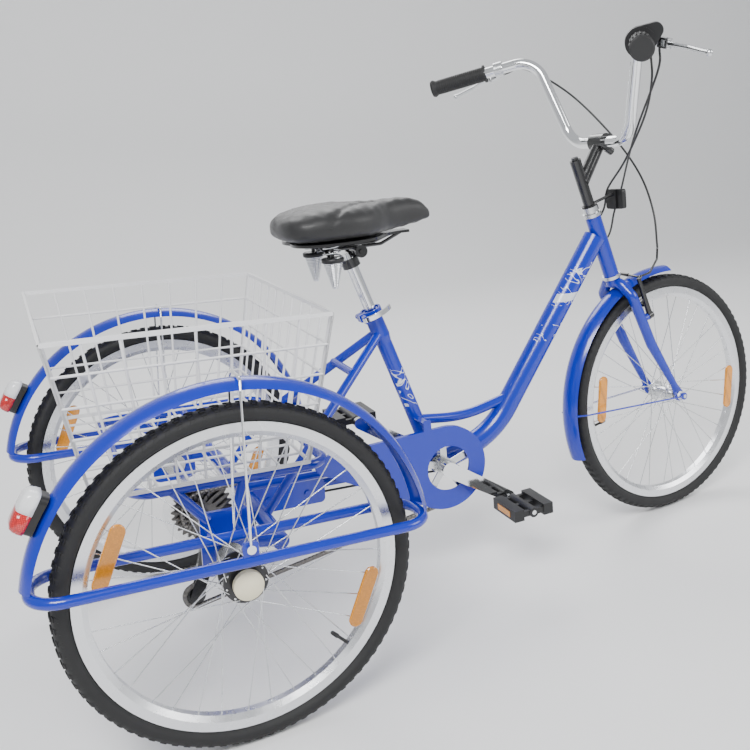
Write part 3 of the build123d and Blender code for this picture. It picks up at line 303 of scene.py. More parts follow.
freewheelSteel = makeFreewheelSteel()

nodeFinish = {"main_frame": framePaint, "rear_carrier": bluePaint, "fork": bluePaint, "rear_hoops": bluePaint,
              "frame_bearings": brightSteel, "seat_clamp": bluePaint, "seat_clamp_lever": chrome,
              "seat_post": chrome, "rear_fenders": bluePaint, "front_fender": bluePaint,
              "fender_stays": chrome, "tail_lamp_bases": blackPlastic, "chain_guard": bluePaint,
              "derailleur_body": blackPaint, "derailleur_cage": blackPaint, "lower_cables": cableBlack,
              "front_axle": brightSteel, "rear_axle": brightSteel, "headset_locknut": brightSteel,
              "stem": blackPaint, "handlebar": chrome, "lever_brackets": brightSteel,
              "shifter_housing": blackPlastic, "front_reflector": blackPlastic, "freewheel": freewheelSteel,
              "chainring": brightSteel, "cranks": chrome, "right_pedal": blackPlastic,
              "left_pedal": blackPlastic, "left_brake_lever": brightSteel, "right_brake_lever": brightSteel,
              "left_brake_arm": blackPaint, "right_brake_arm": blackPaint, "saddle_base": blackPaint,
              "saddle_springs": chrome, "grips": gripRubber, "twist_shifter": gripRubber,
              "front_hub": brightSteel, "rear_left_hub": hubBlack, "rear_right_hub": hubBlack,
              "rear_left_hub_cap": creamPlastic, "rear_right_hub_cap": creamPlastic}
for wheel in wheelPlaces:
    nodeFinish[f"{wheel}_rim"] = rimAluminium
    nodeFinish[f"{wheel}_spokes"] = brightSteel
    nodeFinish[f"{wheel}_reflectors"] = amberReflex
for name, material in nodeFinish.items():
    mesh = nodes[name].data
    mesh.materials.clear()
    mesh.materials.append(material)
print("stage: finishes")


# ---- mesh helpers ----

def meshPiece(name, points, faces, material, smooth=True):
    mesh = bpy.data.meshes.new(name)
    mesh.from_pydata([tuple(p) for p in points], [], faces)
    mesh.materials.append(material)
    piece = bpy.data.objects.new(name, mesh)
    bpy.context.scene.collection.objects.link(piece)
    if smooth:
        mesh.polygons.foreach_set("use_smooth", [True] * len(mesh.polygons))
    return piece


def tidyMesh(piece, weld=0.00001):
    work = bmesh.new()
    work.from_mesh(piece.data)
    bmesh.ops.remove_doubles(work, verts=work.verts, dist=weld)
    bmesh.ops.recalc_face_normals(work, faces=work.faces)
    work.to_mesh(piece.data)
    work.free()
    return piece


def applyModifiers(piece):
    graph = bpy.context.evaluated_depsgraph_get()
    graph.update()
    mesh = bpy.data.meshes.new_from_object(piece.evaluated_get(graph))
    piece.modifiers.clear()
    piece.data = mesh
    return piece


def placed(piece, matrix):
    piece.data.transform(matrix)
    return piece


def ringRows(rows, closedRow=True, closedRing=False):
    faces = []
    across = len(rows[0])
    count = len(rows)
    for i in range(count if closedRing else count - 1):
        for j in range(across if closedRow else across - 1):
            a, b = i * across + j, i * across + (j + 1) % across
            c, d = (i + 1) % count * across + (j + 1) % across, (i + 1) % count * across + j
            faces.append((a, b, c, d))
    return [p for row in rows for p in row], faces


def tubeAlong(name, route, radius, material, sides=10, order=3, steps=12):
    # A smooth line through the route, given a round section
    curve = bpy.data.curves.new(name, "CURVE")
    curve.dimensions = "3D"
    spline = curve.splines.new("NURBS")
    spline.points.add(len(route) - 1)
    for point, place in zip(spline.points, route):
        point.co = (*place, 1)
    spline.order_u = order
    spline.use_endpoint_u = True
    curve.resolution_u = steps
    curve.bevel_depth = radius
    curve.bevel_resolution = sides // 4
    curve.use_fill_caps = True
    helper = bpy.data.objects.new(name + "Line", curve)
    bpy.context.scene.collection.objects.link(helper)
    graph = bpy.context.evaluated_depsgraph_get()
    graph.update()
    mesh = bpy.data.meshes.new_from_object(helper.evaluated_get(graph))
    bpy.data.objects.remove(helper)
    mesh.materials.clear()
    mesh.materials.append(material)
    piece = bpy.data.objects.new(name, mesh)
    bpy.context.scene.collection.objects.link(piece)
    mesh.polygons.foreach_set("use_smooth", [True] * len(mesh.polygons))
    return piece


# ---- geometry node trees ----

def newTree(name, inputs):
    tree = bpy.data.node_groups.new(name, "GeometryNodeTree")
    tree.interface.new_socket("Geometry", in_out="INPUT", socket_type="NodeSocketGeometry")
    for label, kind in inputs:
        tree.interface.new_socket(label, in_out="INPUT", socket_type=kind)
    tree.interface.new_socket("Geometry", in_out="OUTPUT", socket_type="NodeSocketGeometry")
    return tree, tree.nodes.new("NodeGroupInput"), tree.nodes.new("NodeGroupOutput")


def endTree(tree, inside, outside, geometry):
    realized = tree.nodes.new("GeometryNodeRealizeInstances")
    painted = tree.nodes.new("GeometryNodeSetMaterial")
    tree.links.new(geometry, realized.inputs[0])
    tree.links.new(realized.outputs[0], painted.inputs["Geometry"])
    tree.links.new(inside.outputs["Material"], painted.inputs["Material"])
    tree.links.new(painted.outputs[0], outside.inputs[0])


def makeSpinTree():
    # Copies of one small part, turned evenly about the Y axis
    tree, inside, outside = newTree("spinAboutAxle", [("Count", "NodeSocketInt"), ("First Angle", "NodeSocketFloat"),
                                                      ("Material", "NodeSocketMaterial")])
    line = tree.nodes.new("GeometryNodeMeshLine")
    line.inputs["Offset"].default_value = (0, 0, 0)
    copies = tree.nodes.new("GeometryNodeInstanceOnPoints")
    index = tree.nodes.new("GeometryNodeInputIndex")
    step = mathNode(tree, "DIVIDE", 2 * math.pi, inside.outputs["Count"])
    angle = mathNode(tree, "ADD", mathNode(tree, "MULTIPLY", index.outputs[0], step), inside.outputs["First Angle"])
    turn = tree.nodes.new("ShaderNodeCombineXYZ")
    tree.links.new(angle, turn.inputs["Y"])
    tree.links.new(inside.outputs["Count"], line.inputs["Count"])
    tree.links.new(line.outputs[0], copies.inputs["Points"])
    tree.links.new(inside.outputs["Geometry"], copies.inputs["Instance"])
    tree.links.new(turn.outputs[0], copies.inputs["Rotation"])
    endTree(tree, inside, outside, copies.outputs[0])
    return tree


def makeWireTree():
    # Loose edges become round wires
    tree, inside, outside = newTree("roundWires", [("Wire Radius", "NodeSocketFloat"), ("Sides", "NodeSocketInt"),
                                                   ("Material", "NodeSocketMaterial")])
    lines = tree.nodes.new("GeometryNodeMeshToCurve")
    circle = tree.nodes.new("GeometryNodeCurvePrimitiveCircle")
    wires = tree.nodes.new("GeometryNodeCurveToMesh")
    wires.inputs["Fill Caps"].default_value = True
    tree.links.new(inside.outputs["Geometry"], lines.inputs["Mesh"])
    tree.links.new(inside.outputs["Sides"], circle.inputs["Resolution"])
    tree.links.new(inside.outputs["Wire Radius"], circle.inputs["Radius"])
    tree.links.new(lines.outputs[0], wires.inputs["Curve"])
    tree.links.new(circle.outputs[0], wires.inputs["Profile Curve"])
    endTree(tree, inside, outside, wires.outputs[0])
    return tree


def makeLinkTree():
    # One small part repeated along a chain of edges, facing along it
    tree, inside, outside = newTree("linksAlongLine", [("Part", "NodeSocketObject"), ("Spacing", "NodeSocketFloat"),
                                                       ("Material", "NodeSocketMaterial")])
    lines = tree.nodes.new("GeometryNodeMeshToCurve")
    points = tree.nodes.new("GeometryNodeCurveToPoints")
    points.mode = "LENGTH"
    part = tree.nodes.new("GeometryNodeObjectInfo")
    copies = tree.nodes.new("GeometryNodeInstanceOnPoints")
    facing = tree.nodes.new("FunctionNodeAlignEulerToVector")
    facing.axis = "X"
    facing.pivot_axis = "Y"
    tree.links.new(inside.outputs["Geometry"], lines.inputs["Mesh"])
    tree.links.new(lines.outputs[0], points.inputs["Curve"])
    tree.links.new(inside.outputs["Spacing"], points.inputs["Length"])
    tree.links.new(points.outputs["Tangent"], facing.inputs["Vector"])
    tree.links.new(inside.outputs["Part"], part.inputs["Object"])
    tree.links.new(points.outputs["Points"], copies.inputs["Points"])
    tree.links.new(part.outputs["Geometry"], copies.inputs["Instance"])
    tree.links.new(facing.outputs[0], copies.inputs["Rotation"])
    endTree(tree, inside, outside, copies.outputs[0])
    return tree


spinTree, wireTree, linkTree = makeSpinTree(), makeWireTree(), makeLinkTree()


def grown(piece, tree, **values):
    modifier = piece.modifiers.new("grow", "NODES")
    modifier.node_group = tree
    for item in tree.interface.items_tree:
        if item.in_out == "INPUT" and item.name.replace(" ", "") in values:
            modifier[item.identifier] = values[item.name.replace(" ", "")]
    applyModifiers(piece)
    return piece


def kept(piece, body, slotName, *replaced):
    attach(piece, body)
    if replaced:
        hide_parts(*replaced)
    return piece


def joined(name, pieces):
    # One mesh out of several, keeping each one's material
    work = bmesh.new()
    materials = []
    for piece in pieces:
        shift = []
        for material in piece.data.materials:
            if material not in materials:
                materials.append(material)
            shift.append(materials.index(material))
        piece.data.polygons.foreach_set(
            "material_index", [shift[p.material_index] for p in piece.data.polygons])
        work.from_mesh(piece.data)
    mesh = bpy.data.meshes.new(name)
    work.to_mesh(mesh)
    work.free()
    for material in materials:
        mesh.materials.append(material)
    for piece in pieces:
        bpy.data.objects.remove(piece)
    whole = bpy.data.objects.new(name, mesh)
    bpy.context.scene.collection.objects.link(whole)
    return whole


# ---- tyres: a smooth carcass with shoulder lugs and a grooved crown ----

tyreShape = {"around": 192, "pitches": 90,
             "section": [(11.0, 257.0), (11.3, 268.8), (14.8, 270.5), (19.6, 274.8), (22.0, 280.0), (22.3, 285.0),
                         (20.4, 289.5), (16.5, 293.0), (11.0, 295.2), (5.0, 296.6), (0.0, 297.0)],
             "lift": 0.0019, "valveAngles": {"rear_left": -47, "rear_right": -47, "front": 188}}


def wheelPoint(left, reach, angle):
    return Vector((reach * math.cos(angle), left, reach * math.sin(angle)))


def makeCarcass(name):
    half = tyreShape["section"]
    outline = half + [(-y, r) for y, r in half[-2::-1]] + [(-8.6, 257.0), (-17.5, 283.0), (0.0, 292.0),
                                                           (17.5, 283.0), (8.6, 257.0)]
    count = tyreShape["around"]
    rows = [[wheelPoint(y / 1000, r / 1000, 2 * math.pi * i / count) for y, r in outline] for i in range(count)]
    points, faces = ringRows(rows, closedRing=True)
    return tidyMesh(meshPiece(name, points, faces, tyreRubber))


def makeLug(name):
    # One pitch of tread: a pair of side blocks, a pair of inner blocks and a crown block
    pieces = []
    blocks = [(13.2, 17.6, 293.6, 291.4, -0.020, 0.012, 0.006), (17.8, 21.0, 290.8, 284.5, -0.016, 0.013, 0.012),
              (6.4, 11.6, 296.4, 294.8, -0.010, 0.020, -0.008), (0.8, 5.0, 297.0, 296.5, -0.022, 0.008, 0.006)]
    for side in (-1, 1):
        for innerY, outerY, innerR, outerR, low, high, skew in blocks:
            corners = []
            for lift in (0, 1):
                inset = 0.12 if lift else 0
                for t, (y, r) in ((0, (innerY, innerR)), (1, (outerY, outerR))):
                    slope = (innerR - outerR) / max(outerY - innerY, 0.1)
                    out = Vector((slope, 1)).normalized()
                    for angle in (low, high) if t == 0 else (high, low):
                        middle = (low + high) / 2
                        turn = middle + (angle - middle) * (1 - inset) + skew * (t - 0.5)
                        grow = tyreShape["lift"] * lift
                        cross = (y + (0.5 - t) * inset * (outerY - innerY)) / 1000 + out.x * grow
                        corners.append(wheelPoint(side * cross, r / 1000 + out.y * grow + 0.0003, turn))
            faces = [(0, 1, 2, 3), (7, 6, 5, 4), (0, 4, 5, 1), (1, 5, 6, 2), (2, 6, 7, 3), (3, 7, 4, 0)]
            block = meshPiece("lugBlock", corners, faces, tyreRubber, smooth=False)
            tidyMesh(block)
            bevel = block.modifiers.new("edge", "BEVEL")
            bevel.width = 0.0004
            bevel.segments = 1
            applyModifiers(block)
            pieces.append(block)
    return joined(name, pieces)


def makeValve(name, degreesRound):
    angle = math.radians(degreesRound)
    inwards = Vector((-math.cos(angle), 0, -math.sin(angle)))
    root = -inwards * 0.2445
    across = inwards.orthogonal().normalized()
    other = inwards.cross(across)
    profile = [(0, 0), (0, 3.4), (3, 3.0), (24, 2.9), (25, 4.2), (38, 3.6), (40, 2.4), (40, 0)]
    rows = [[root + inwards * (d / 1000) + (across * math.cos(2 * math.pi * k / 20) + other *
             math.sin(2 * math.pi * k / 20)) * max(r, 0.02) / 1000 for k in range(20)] for d, r in profile]
    points, faces = ringRows(rows)
    faces += [tuple(range(19, -1, -1)), tuple(range(len(points) - 20, len(points)))]
    return tidyMesh(meshPiece(name, points, faces, blackPlastic))


for wheel, (matrix, body) in wheelPlaces.items():
    carcass = makeCarcass(wheel + "Carcass")
    tread = grown(makeLug(wheel + "Tread"), spinTree, Count=tyreShape["pitches"], FirstAngle=0.0,
                  Material=tyreRubber)
    valve = makeValve(wheel + "Valve", tyreShape["valveAngles"][wheel])
    whole = placed(joined(f"{wheel}.tyreTreaded", [carcass, tread, valve]), matrix)
    kept(whole, body, "tyre", f"{wheel}_tyre")
print("stage: tyres")


# ---- basket: round coated wires, with flat strips up the corners ----

basketShape = {"low": 438.0, "high": 710.0, "floor": (-212.0, 156.0, 265.0), "rim": (-266.0, 205.0, 292.0),
               "wire": 0.0024}


def wirePanel(name, corners, columns, rows):
    # Loose lines between the foot and head of a panel, and across it
    footLeft, footRight, headRight, headLeft = corners
    points, edges = [], []

    def line(a, b):
        points.extend((a, b))
        edges.append((len(points) - 2, len(points) - 1))

    for i in range(columns + 1):
        t = i / columns
        line(footLeft.lerp(footRight, t), headLeft.lerp(headRight, t))
    for j in range(rows + 1):
        t = j / rows
        line(footLeft.lerp(headLeft, t), footRight.lerp(headRight, t))
    mesh = bpy.data.meshes.new(name)
    mesh.from_pydata([tuple(p) for p in points], edges, [])
    piece = bpy.data.objects.new(name, mesh)
    bpy.context.scene.collection.objects.link(piece)
    return grown(piece, wireTree, WireRadius=basketShape["wire"], Sides=10, Material=whiteCoating)


def slab(name, start, end, across, width, thick, material):
    # A flat strip from start to end, lying along across
    along = (end - start).normalized()
    across = (across - along * across.dot(along)).normalized()
    normal = along.cross(across)
    points = []
    for place in (start, end):
        for a, b in ((-1, -1), (1, -1), (1, 1), (-1, 1)):
            points.append(place + across * (a * width / 2) + normal * (b * thick / 2))
    faces = [(0, 3, 2, 1), (4, 5, 6, 7), (0, 1, 5, 4), (1, 2, 6, 5), (2, 3, 7, 6), (3, 0, 4, 7)]
    return tidyMesh(meshPiece(name, points, faces, material, smooth=False))


def makeBasket():
    floorRear, floorFront, floorHalf = basketShape["floor"]
    rimRear, rimFront, rimHalf = basketShape["rim"]
    low, high = basketShape["low"] + 4, basketShape["high"]
    pieces = []
    for side in (-1, 1):
        pieces.append(wirePanel("basketSide", [at(floorRear, side * floorHalf, low),
                                               at(floorFront, side * floorHalf, low),
                                               at(rimFront, side * rimHalf, high),
                                               at(rimRear, side * rimHalf, high)], 8, 5))
    for foot, head in ((floorRear, rimRear), (floorFront, rimFront)):
        pieces.append(wirePanel("basketEnd", [at(foot, -floorHalf, low), at(foot, floorHalf, low),
                                              at(head, rimHalf, high), at(head, -rimHalf, high)], 10, 5))
        for side in (-1, 1):
            start, end = at(foot, side * (floorHalf - 6), low), at(head, side * (rimHalf - 6), high)
            pieces.append(slab("basketStrip", start, end, Vector((0, 1, 0)), 0.014, 0.0042, whiteCoating))
    floor = [at(floorRear, -floorHalf, low - 3), at(floorFront, -floorHalf, low - 3),
             at(floorFront, floorHalf, low - 3), at(floorRear, floorHalf, low - 3)]
    pieces.append(wirePanel("basketFloor", floor, 7, 9))
    rim = [at(rimRear, -rimHalf, high), at(rimFront, -rimHalf, high), at(rimFront, rimHalf, high),
           at(rimRear, rimHalf, high)]
    for index in range(4):
        pieces.append(slab("basketRim", rim[index], rim[(index + 1) % 4], Vector((0, 0, 1)), 0.0072, 0.0052,
                           whiteCoating))
    return joined("basketWires", pieces)


basket = placed(makeBasket(), tiltMatrix)
kept(basket, "frame", "white_coating", "basket")
print("stage: basket")


# ---- saddle: a wide padded seat and a narrow nose, creased where they meet ----

saddleShape = {"stations": [(218, 34, 812, 832), (228, 74, 801, 844), (245, 90, 797, 852), (262, 98, 795, 857),
                            (290, 104, 794, 862), (320, 107, 794, 864), (350, 106, 794, 865),
                            (378, 101, 794, 864), (400, 89, 794, 862), (420, 74, 795, 861), (436, 57, 796, 861),
                            (452, 44, 797, 861), (472, 36, 799, 862), (492, 31, 801, 862), (512, 28, 804, 859),
                            (530, 25, 807, 853), (549, 18, 812, 836), (554, 9, 816, 828)],
               "sides": 40, "creaseDepth": 0.004, "creaseReach": 0.016, "channelDepth": 0.004}


def makeSaddle():
    rows = []
    for x, half, low, high in saddleShape["stations"]:
        row = []
        for k in range(saddleShape["sides"]):
            turn = 2 * math.pi * k / saddleShape["sides"]
            side, rise = math.cos(turn), math.sin(turn)
            middle = low + (high - low) * 0.42
            y = half * math.copysign(abs(side) ** 0.72, side)
            if rise >= 0:
                z = middle + (high - middle) * abs(rise) ** 0.8
            else:
                z = middle - (middle - low) * abs(rise) ** 0.5
            row.append(at(x, y, z))
        rows.append(row)
    points, faces = ringRows(rows)
    count = saddleShape["sides"]
    faces += [tuple(range(count)), tuple(range(len(points) - 1, len(points) - count - 1, -1))]
    piece = tidyMesh(meshPiece("saddleCoverVinyl", points, faces, saddleVinyl))
    smooth = piece.modifiers.new("smooth", "SUBSURF")
    smooth.levels = 3
    applyModifiers(piece)
    # The sewn line runs across the seat in front of the wide part, and the middle dips
    for vertex in piece.data.vertices:
        place = vertex.co
        seam = at(425, 0, 0).x - abs(place.y) * 1.15
        if place.z > 0.825:
            nearSeam = math.exp(-((place.x - seam) / saddleShape["creaseReach"]) ** 2 * 2)
            dip = math.exp(-(place.y / 0.022) ** 2) * saddleShape["channelDepth"]
            rear = 1 if place.x < at(430, 0, 0).x else 0.25
            vertex.co.z -= nearSeam * saddleShape["creaseDepth"] + dip * rear
        # Long soft pulls in the cover
        vertex.co.z += 0.0007 * math.sin(place.x * 210) * math.sin(place.y * 130)
    return piece


saddle = makeSaddle()
kept(saddle, "saddle", "saddle_vinyl", "saddle_cover")
print("stage: saddle")


# ---- cables: smooth black housing ----

cableRoutes = {"front": [(948, 262, 1120), (1005, 250, 1128), (1098, 200, 1060), (1150, 110, 948),
                         (1150, 20, 850), (1135, -35, 760), (1122.5, -55, 675.6)],
               "shift": [(952, -255, 1060), (976, -200, 991), (1005, -90, 896), (1022, -6, 838),
                         (1026, 17, 814), (1024, 31, 770), (962, 34, 700)],
               "brake": [(972, -250, 1078), (1018, -120, 968), (1066, -20, 895), (1106, 65, 817),
                         (1096, 82, 762), (1046, 50, 701), (952, 34, 686)]}


def throughPoints(points, runs=8):
    # Catmull-Rom line through the points
    padded = [points[0] * 2 - points[1]] + points + [points[-1] * 2 - points[-2]]
    line = []
    for a, b, c, d in zip(padded, padded[1:], padded[2:], padded[3:]):
        for step in range(runs):
            t = step / runs
            line.append(0.5 * (b * 2 + (c - a) * t + (a * 2 - b * 5 + c * 4 - d) * t ** 2
                               + (b * 3 - a - c * 3 + d) * t ** 3))
    return line + [points[-1]]


shiftStart = turnMatrix @ at(921, -262, 1100)
brakeStart = turnMatrix @ at(944, -264, 1112)
shiftLine = throughPoints([shiftStart] + [at(*p) for p in cableRoutes["shift"]])
brakeLine = throughPoints([brakeStart] + [at(*p) for p in cableRoutes["brake"]])
upperCables = joined("upperCableHousing", [tubeAlong("shiftHousing", shiftLine, 0.0025, cableBlack),
                                           tubeAlong("brakeHousing", brakeLine, 0.0025, cableBlack)])
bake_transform(upperCables)
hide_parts("upper_cables")
frontLine = [turnMatrix @ p for p in throughPoints([at(*p) for p in cableRoutes["front"]])]
frontCable = tubeAlong("frontBrakeHousing", frontLine, 0.0025, cableBlack)
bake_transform(frontCable)
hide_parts("front_brake_cable")
print("stage: cables")


# ---- chain: rollers and side plates, one pitch after another ----

chainShape = {"y": -0.054, "wheels": [((521.0, 273.0), 84.97, 1), ((0.0, 300.0), 40.62, 1),
                                      ((-8.0, 191.0), 22.2, -1), ((-36.0, 131.0), 22.2, 1)]}


def chainLine():
    # Tangent runs and arcs round the chain's wheels
    wheels = chainShape["wheels"]
    contacts = []
    for (a, aReach, aSense), (b, bReach, bSense) in zip(wheels, wheels[1:] + wheels[:1]):
        first, second = Vector(a), Vector(b)
        across = second - first
        heading = math.atan2(across.y, across.x) - math.acos((aSense * aReach - bSense * bReach) / across.length)
        normal = Vector((math.cos(heading), math.sin(heading)))
        contacts.append((first + normal * aSense * aReach, second + normal * bSense * bReach, heading))
    line = []
    for index, (start, finish, heading) in enumerate(contacts):
        line.append(start)
        line.append(finish)
        middle, reach, sense = wheels[(index + 1) % len(wheels)]
        nextHeading = contacts[(index + 1) % len(contacts)][2]
        swing = (sense * (nextHeading - heading)) % (2 * math.pi) * sense
        steps = max(3, int(abs(swing) * 8))
        for step in range(1, steps):
            angle = heading + swing * step / steps
            line.append(Vector(middle) + Vector((math.cos(angle), math.sin(angle))) * sense * reach)
    return [at(p.x, chainShape["y"] * 1000, p.y) for p in line]


def makeLink():
    # Two waisted plates and a roller, lying along X with its middle at the origin
    pieces = []
    for left in (-0.0029, 0.0029):
        outline = []
        for centre, first in ((0.0032, -math.pi / 2), (-0.0032, math.pi / 2)):
            for k in range(9):
                turn = first + math.pi * k / 8
                outline.append((centre + 0.0038 * math.cos(turn), 0.0038 * math.sin(turn)))
        points = [Vector((x, left - 0.0004, z)) for x, z in outline] + [Vector((x, left + 0.0004, z))
                                                                        for x, z in outline]
        count = len(outline)
        faces = [tuple(range(count)), tuple(range(2 * count - 1, count - 1, -1))]
        faces += [(k, k + count, (k + 1) % count + count, (k + 1) % count) for k in range(count)]
        pieces.append(tidyMesh(meshPiece("linkPlate", points, faces, sprocketSteel, smooth=False)))
    rows = [[Vector((0.0032 + 0.0032 * math.cos(2 * math.pi * k / 12), left, 0.0032 * math.sin(2 * math.pi * k / 12)))
             for k in range(12)] for left in (-0.0036, 0.0036)]
    points, faces = ringRows(rows)
    faces += [tuple(range(12)), tuple(range(23, 11, -1))]
    pieces.append(tidyMesh(meshPiece("linkRoller", points, faces, sprocketSteel)))
    return joined("chainLinkPart", pieces)


link = makeLink()
line = chainLine()
mesh = bpy.data.meshes.new("chainLoop")
mesh.from_pydata([tuple(p) for p in line], [(i, (i + 1) % len(line)) for i in range(len(line))], [])
chain = bpy.data.objects.new("chainLinks", mesh)
bpy.context.scene.collection.objects.link(chain)
grown(chain, linkTree, Part=link, Spacing=0.00889, Material=sprocketSteel)
bpy.data.objects.remove(link)
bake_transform(chain)
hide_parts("chain")
print("stage: chain")


# ---- tail lamps: a white upper half and a red lower half ----

lampShape = {"angle": 147, "reach": 0.3521, "depth": 0.023, "foot": (0.024, 0.035), "head": (0.015, 0.024)}


def makeLamp(side, upper):
    angle = math.radians(lampShape["angle"])
    outwards = Vector((math.cos(angle), 0, math.sin(angle)))
    along = Vector((math.sin(angle), 0, -math.cos(angle))) * (1 if upper else -1)
    centre = rearCentre + Vector((0, side * trackHalf, 0)) + outwards * lampShape["reach"]
    rows = []
    for depth in (0, 0.3, 0.62, 0.85, 1):
        grow = math.sqrt(max(0, 1 - depth ** 3))
        halfWide = lampShape["head"][0] + (lampShape["foot"][0] - lampShape["head"][0]) * grow
        halfTall = lampShape["head"][1] + (lampShape["foot"][1] - lampShape["head"][1]) * grow
        row = []
        for k in range(17):
            turn = math.pi * k / 16
            y = halfWide * math.copysign(abs(math.cos(turn)) ** 0.45, math.cos(turn))
            t = halfTall * abs(math.sin(turn)) ** 0.45
            row.append(centre + Vector((0, y, 0)) + along * t + outwards * depth * lampShape["depth"])
        rows.append(row)
    points, faces = ringRows(rows)
    count = len(rows[0])
    faces += [tuple(range(count)), tuple(range(len(points) - 1, len(points) - count - 1, -1))]
    return tidyMesh(meshPiece("lampHalf", points, faces, lampWhite if upper else redReflex))


lamps = joined("tailLampGlasses", [makeLamp(side, upper) for side in (-1, 1) for upper in (True, False)])
kept(lamps, "frame", "lamp_lens", "tail_lamp_lenses")


# ---- saddle springs: a close-wound cone under each ring and open coils above it ----

springShape = {"station": 312, "side": 60, "foot": (703.0, 5.2), "ring": (753.0, 19.0), "head": (787.0, 16.0)}


def makeCoil(side, low, high, turns, wireRadius):
    line = []
    for step in range(turns * 14 + 1):
        share = step / (turns * 14)
        angle = 2 * math.pi * turns * share
        reach = low[1] + (high[1] - low[1]) * share
        line.append(at(springShape["station"] + reach * math.cos(angle),
                       side * springShape["side"] + reach * math.sin(angle), low[0] + (high[0] - low[0]) * share))
    return tubeAlong("springWire", line, wireRadius, chrome, sides=8, steps=2)


def ringAbout(name, start, end, radii, material, sides=32):
    # A turned shape along a line, from (share of the length, radius) pairs
    along = (end - start).normalized()
    across = along.orthogonal().normalized()
    other = along.cross(across)
    rows = [[start.lerp(end, t) + (across * math.cos(2 * math.pi * k / sides) + other *
             math.sin(2 * math.pi * k / sides)) * r for k in range(sides)] for t, r in radii]
    points, faces = ringRows(rows)
    faces += [tuple(range(sides)), tuple(range(len(points) - 1, len(points) - sides - 1, -1))]
    return tidyMesh(meshPiece(name, points, faces, material))


springs = []
for side in (-1, 1):
    springs.append(makeCoil(side, springShape["foot"], springShape["ring"], 15, 0.0017))
    springs.append(makeCoil(side, springShape["ring"], springShape["head"], 3, 0.0016))
    foot = at(springShape["station"], side * springShape["side"], 700)
    springs.append(ringAbout("springFoot", foot, foot + Vector((0, 0, 0.006)),
                             [(0, 0.005), (0.1, 0.006), (0.9, 0.006), (1, 0.005)], chrome))
    collar = foot + Vector((0, 0, 0.052))
    springs.append(ringAbout("springRing", collar, collar + Vector((0, 0, 0.010)),
                             [(0, 0.020), (0.15, 0.0225), (0.85, 0.0225), (1, 0.020)], blackPlastic))
kept(joined("saddleSpringCones", springs), "saddle", "chrome", "saddle_springs")
print("stage: springs")


# ---- small parts the solids leave plain ----

barEnd = {side: at(800, side * 360, 1100) for side in (-1, 1)}
barAlong = {side: (barEnd[side] - at(975.5, side * 175, 1144)).normalized() for side in (-1, 1)}
ribs = []
for index in range(22):
    place = barEnd[1] - barAlong[1] * (0.014 + index * 0.0051)
    ribs.append(ringAbout("gripRib", place, place - barAlong[1] * 0.0026,
                          [(0, 0.0169), (0.2, 0.0179), (0.8, 0.0179), (1, 0.0169)], gripRubber))
kept(placed(joined("leftGripRibs", ribs), turnMatrix), "steering", "grip_rubber")
heads = []
for side in (-1, 1):
    y = side * trackHalf
    for face in (-1, 1):
        for k in range(9):
            angle = 2 * math.pi * (k + 0.25 * face) / 9
            place = rearCentre + Vector((0.033 * math.cos(angle), y + face * 0.0218, 0.033 * math.sin(angle)))
            heads.append((side, ringAbout("spokeHead", place, place + Vector((0, face * 0.0018, 0)),
                                          [(0, 0.0024), (0.6, 0.0022), (1, 0.0012)], brightSteel, 14)))
for side, name in ((1, "rear_left_wheel"), (-1, "rear_right_wheel")):
    kept(joined(name + ".spokeHeads", [piece for owner, piece in heads if owner == side]), name, "bright_steel")
for side, body, middle in ((-1, "right_pedal", -147.5), (1, "left_pedal", 135.5)):
    out = math.radians(34)
    axle = at(521 - side * 170 * math.cos(out), middle, 273 + side * 170 * math.sin(out))
    plates = []
    for station in (-1, 1):
        face = axle + Vector((station * 0.0478, 0, 0))
        plates.append(slab("pedalReflex", face - Vector((0, 0.026, 0)), face + Vector((0, 0.026, 0)),
                           Vector((0, 0, 1)), 0.013, 0.0014, amberReflex))
    kept(joined(body + ".reflexPlates", plates), body, "amber")
print("stage: small parts")

for name, node in nodes.items():
    if not node.data.materials:
        node.data.materials.append(blackPlastic)


# ---- floor, light and camera ----

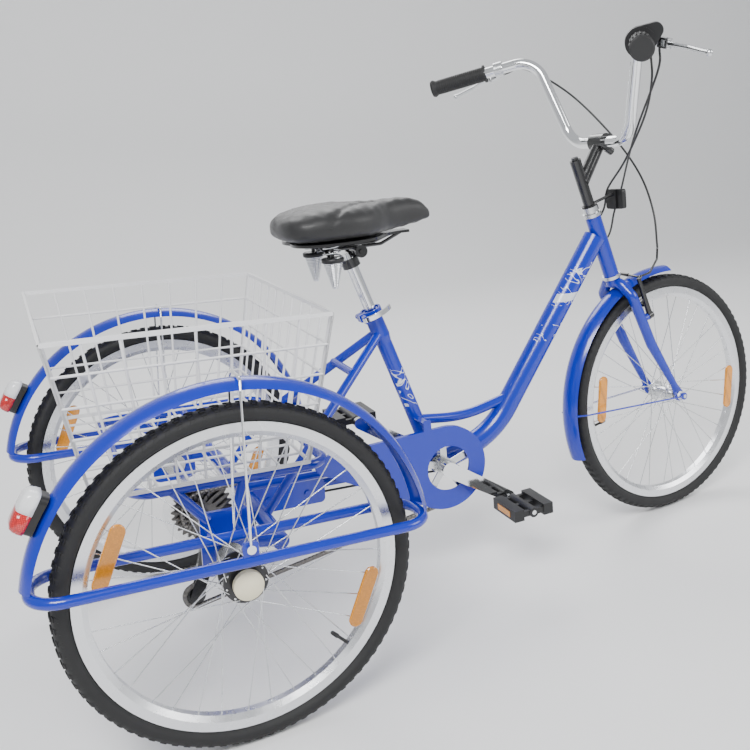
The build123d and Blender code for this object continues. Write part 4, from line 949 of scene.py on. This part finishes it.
def makeStage():
    floorMaterial = finish("studioPaper", (0.90, 0.90, 0.90), 0.75, spread=0.02, cloud=2)
    rows = []
    for y, z in [(-8, 0), (3.2, 0)] + [(3.2 + 1.4 * math.sin(a / 10 * math.pi / 2),
                                        1.4 - 1.4 * math.cos(a / 10 * math.pi / 2)) for a in range(1, 11)] + [(4.6, 8)]:
        rows.append([Vector((x, y, z - 0.0005)) for x in (-12, 12)])
    points, faces = ringRows(rows, closedRow=False)
    floor = meshPiece("studioFloor", points, faces, floorMaterial)


makeStage()
world = bpy.data.worlds.new("studio")
bpy.context.scene.world = world
world.use_nodes = True
world.node_tree.nodes["Background"].inputs["Color"].default_value = (0.95, 0.97, 1.0, 1)
world.node_tree.nodes["Background"].inputs["Strength"].default_value = 0.62


def addLight(name, place, target, power, width):
    lamp = bpy.data.lights.new(name, "AREA")
    lamp.energy = power
    lamp.shape = "RECTANGLE"
    lamp.size = width
    lamp.size_y = width * 0.7
    piece = bpy.data.objects.new(name, lamp)
    piece.location = place
    piece.rotation_mode = "QUATERNION"
    piece.rotation_quaternion = (Vector(target) - Vector(place)).to_track_quat("-Z", "Y")
    bpy.context.scene.collection.objects.link(piece)


addLight("keyLight", (-1.8, -2.6, 3.4), (0, 0, 0.5), 170, 2.0)
addLight("fillLight", (2.8, -2.2, 2.2), (0, 0, 0.5), 70, 2.4)
addLight("rimLight", (0.4, 2.6, 3.0), (0, 0, 0.6), 70, 2.4)
cameraShape = {"azimuth": -25.4082, "elevation": 12.9771, "roll": -0.072, "focal": 44.70,
               "place": (-0.8457, -1.8066, 1.0189), "shift": (-0.0981, -0.0590)}
azimuth, elevation = (math.radians(cameraShape[key]) for key in ("azimuth", "elevation"))
back = Vector((math.sin(azimuth) * math.cos(elevation), -math.cos(azimuth) * math.cos(elevation),
               math.sin(elevation)))
right = (-back).cross(Vector((0, 0, 1))).normalized()
above = right.cross(-back)
roll = cameraShape["roll"]
rolledRight = right * math.cos(roll) + above * math.sin(roll)
rolledAbove = above * math.cos(roll) - right * math.sin(roll)
camera = bpy.data.objects.new("photoCamera", bpy.data.cameras.new("photoCamera"))
camera.data.lens = cameraShape["focal"]
camera.data.shift_x, camera.data.shift_y = cameraShape["shift"]
camera.matrix_world = Matrix.Translation(cameraShape["place"]) @ Matrix(
    (rolledRight, rolledAbove, back)).transposed().to_4x4()
bpy.context.scene.collection.objects.link(camera)
bpy.context.scene.camera = camera
bpy.context.view_layer.update()

print("stage: scene finished")
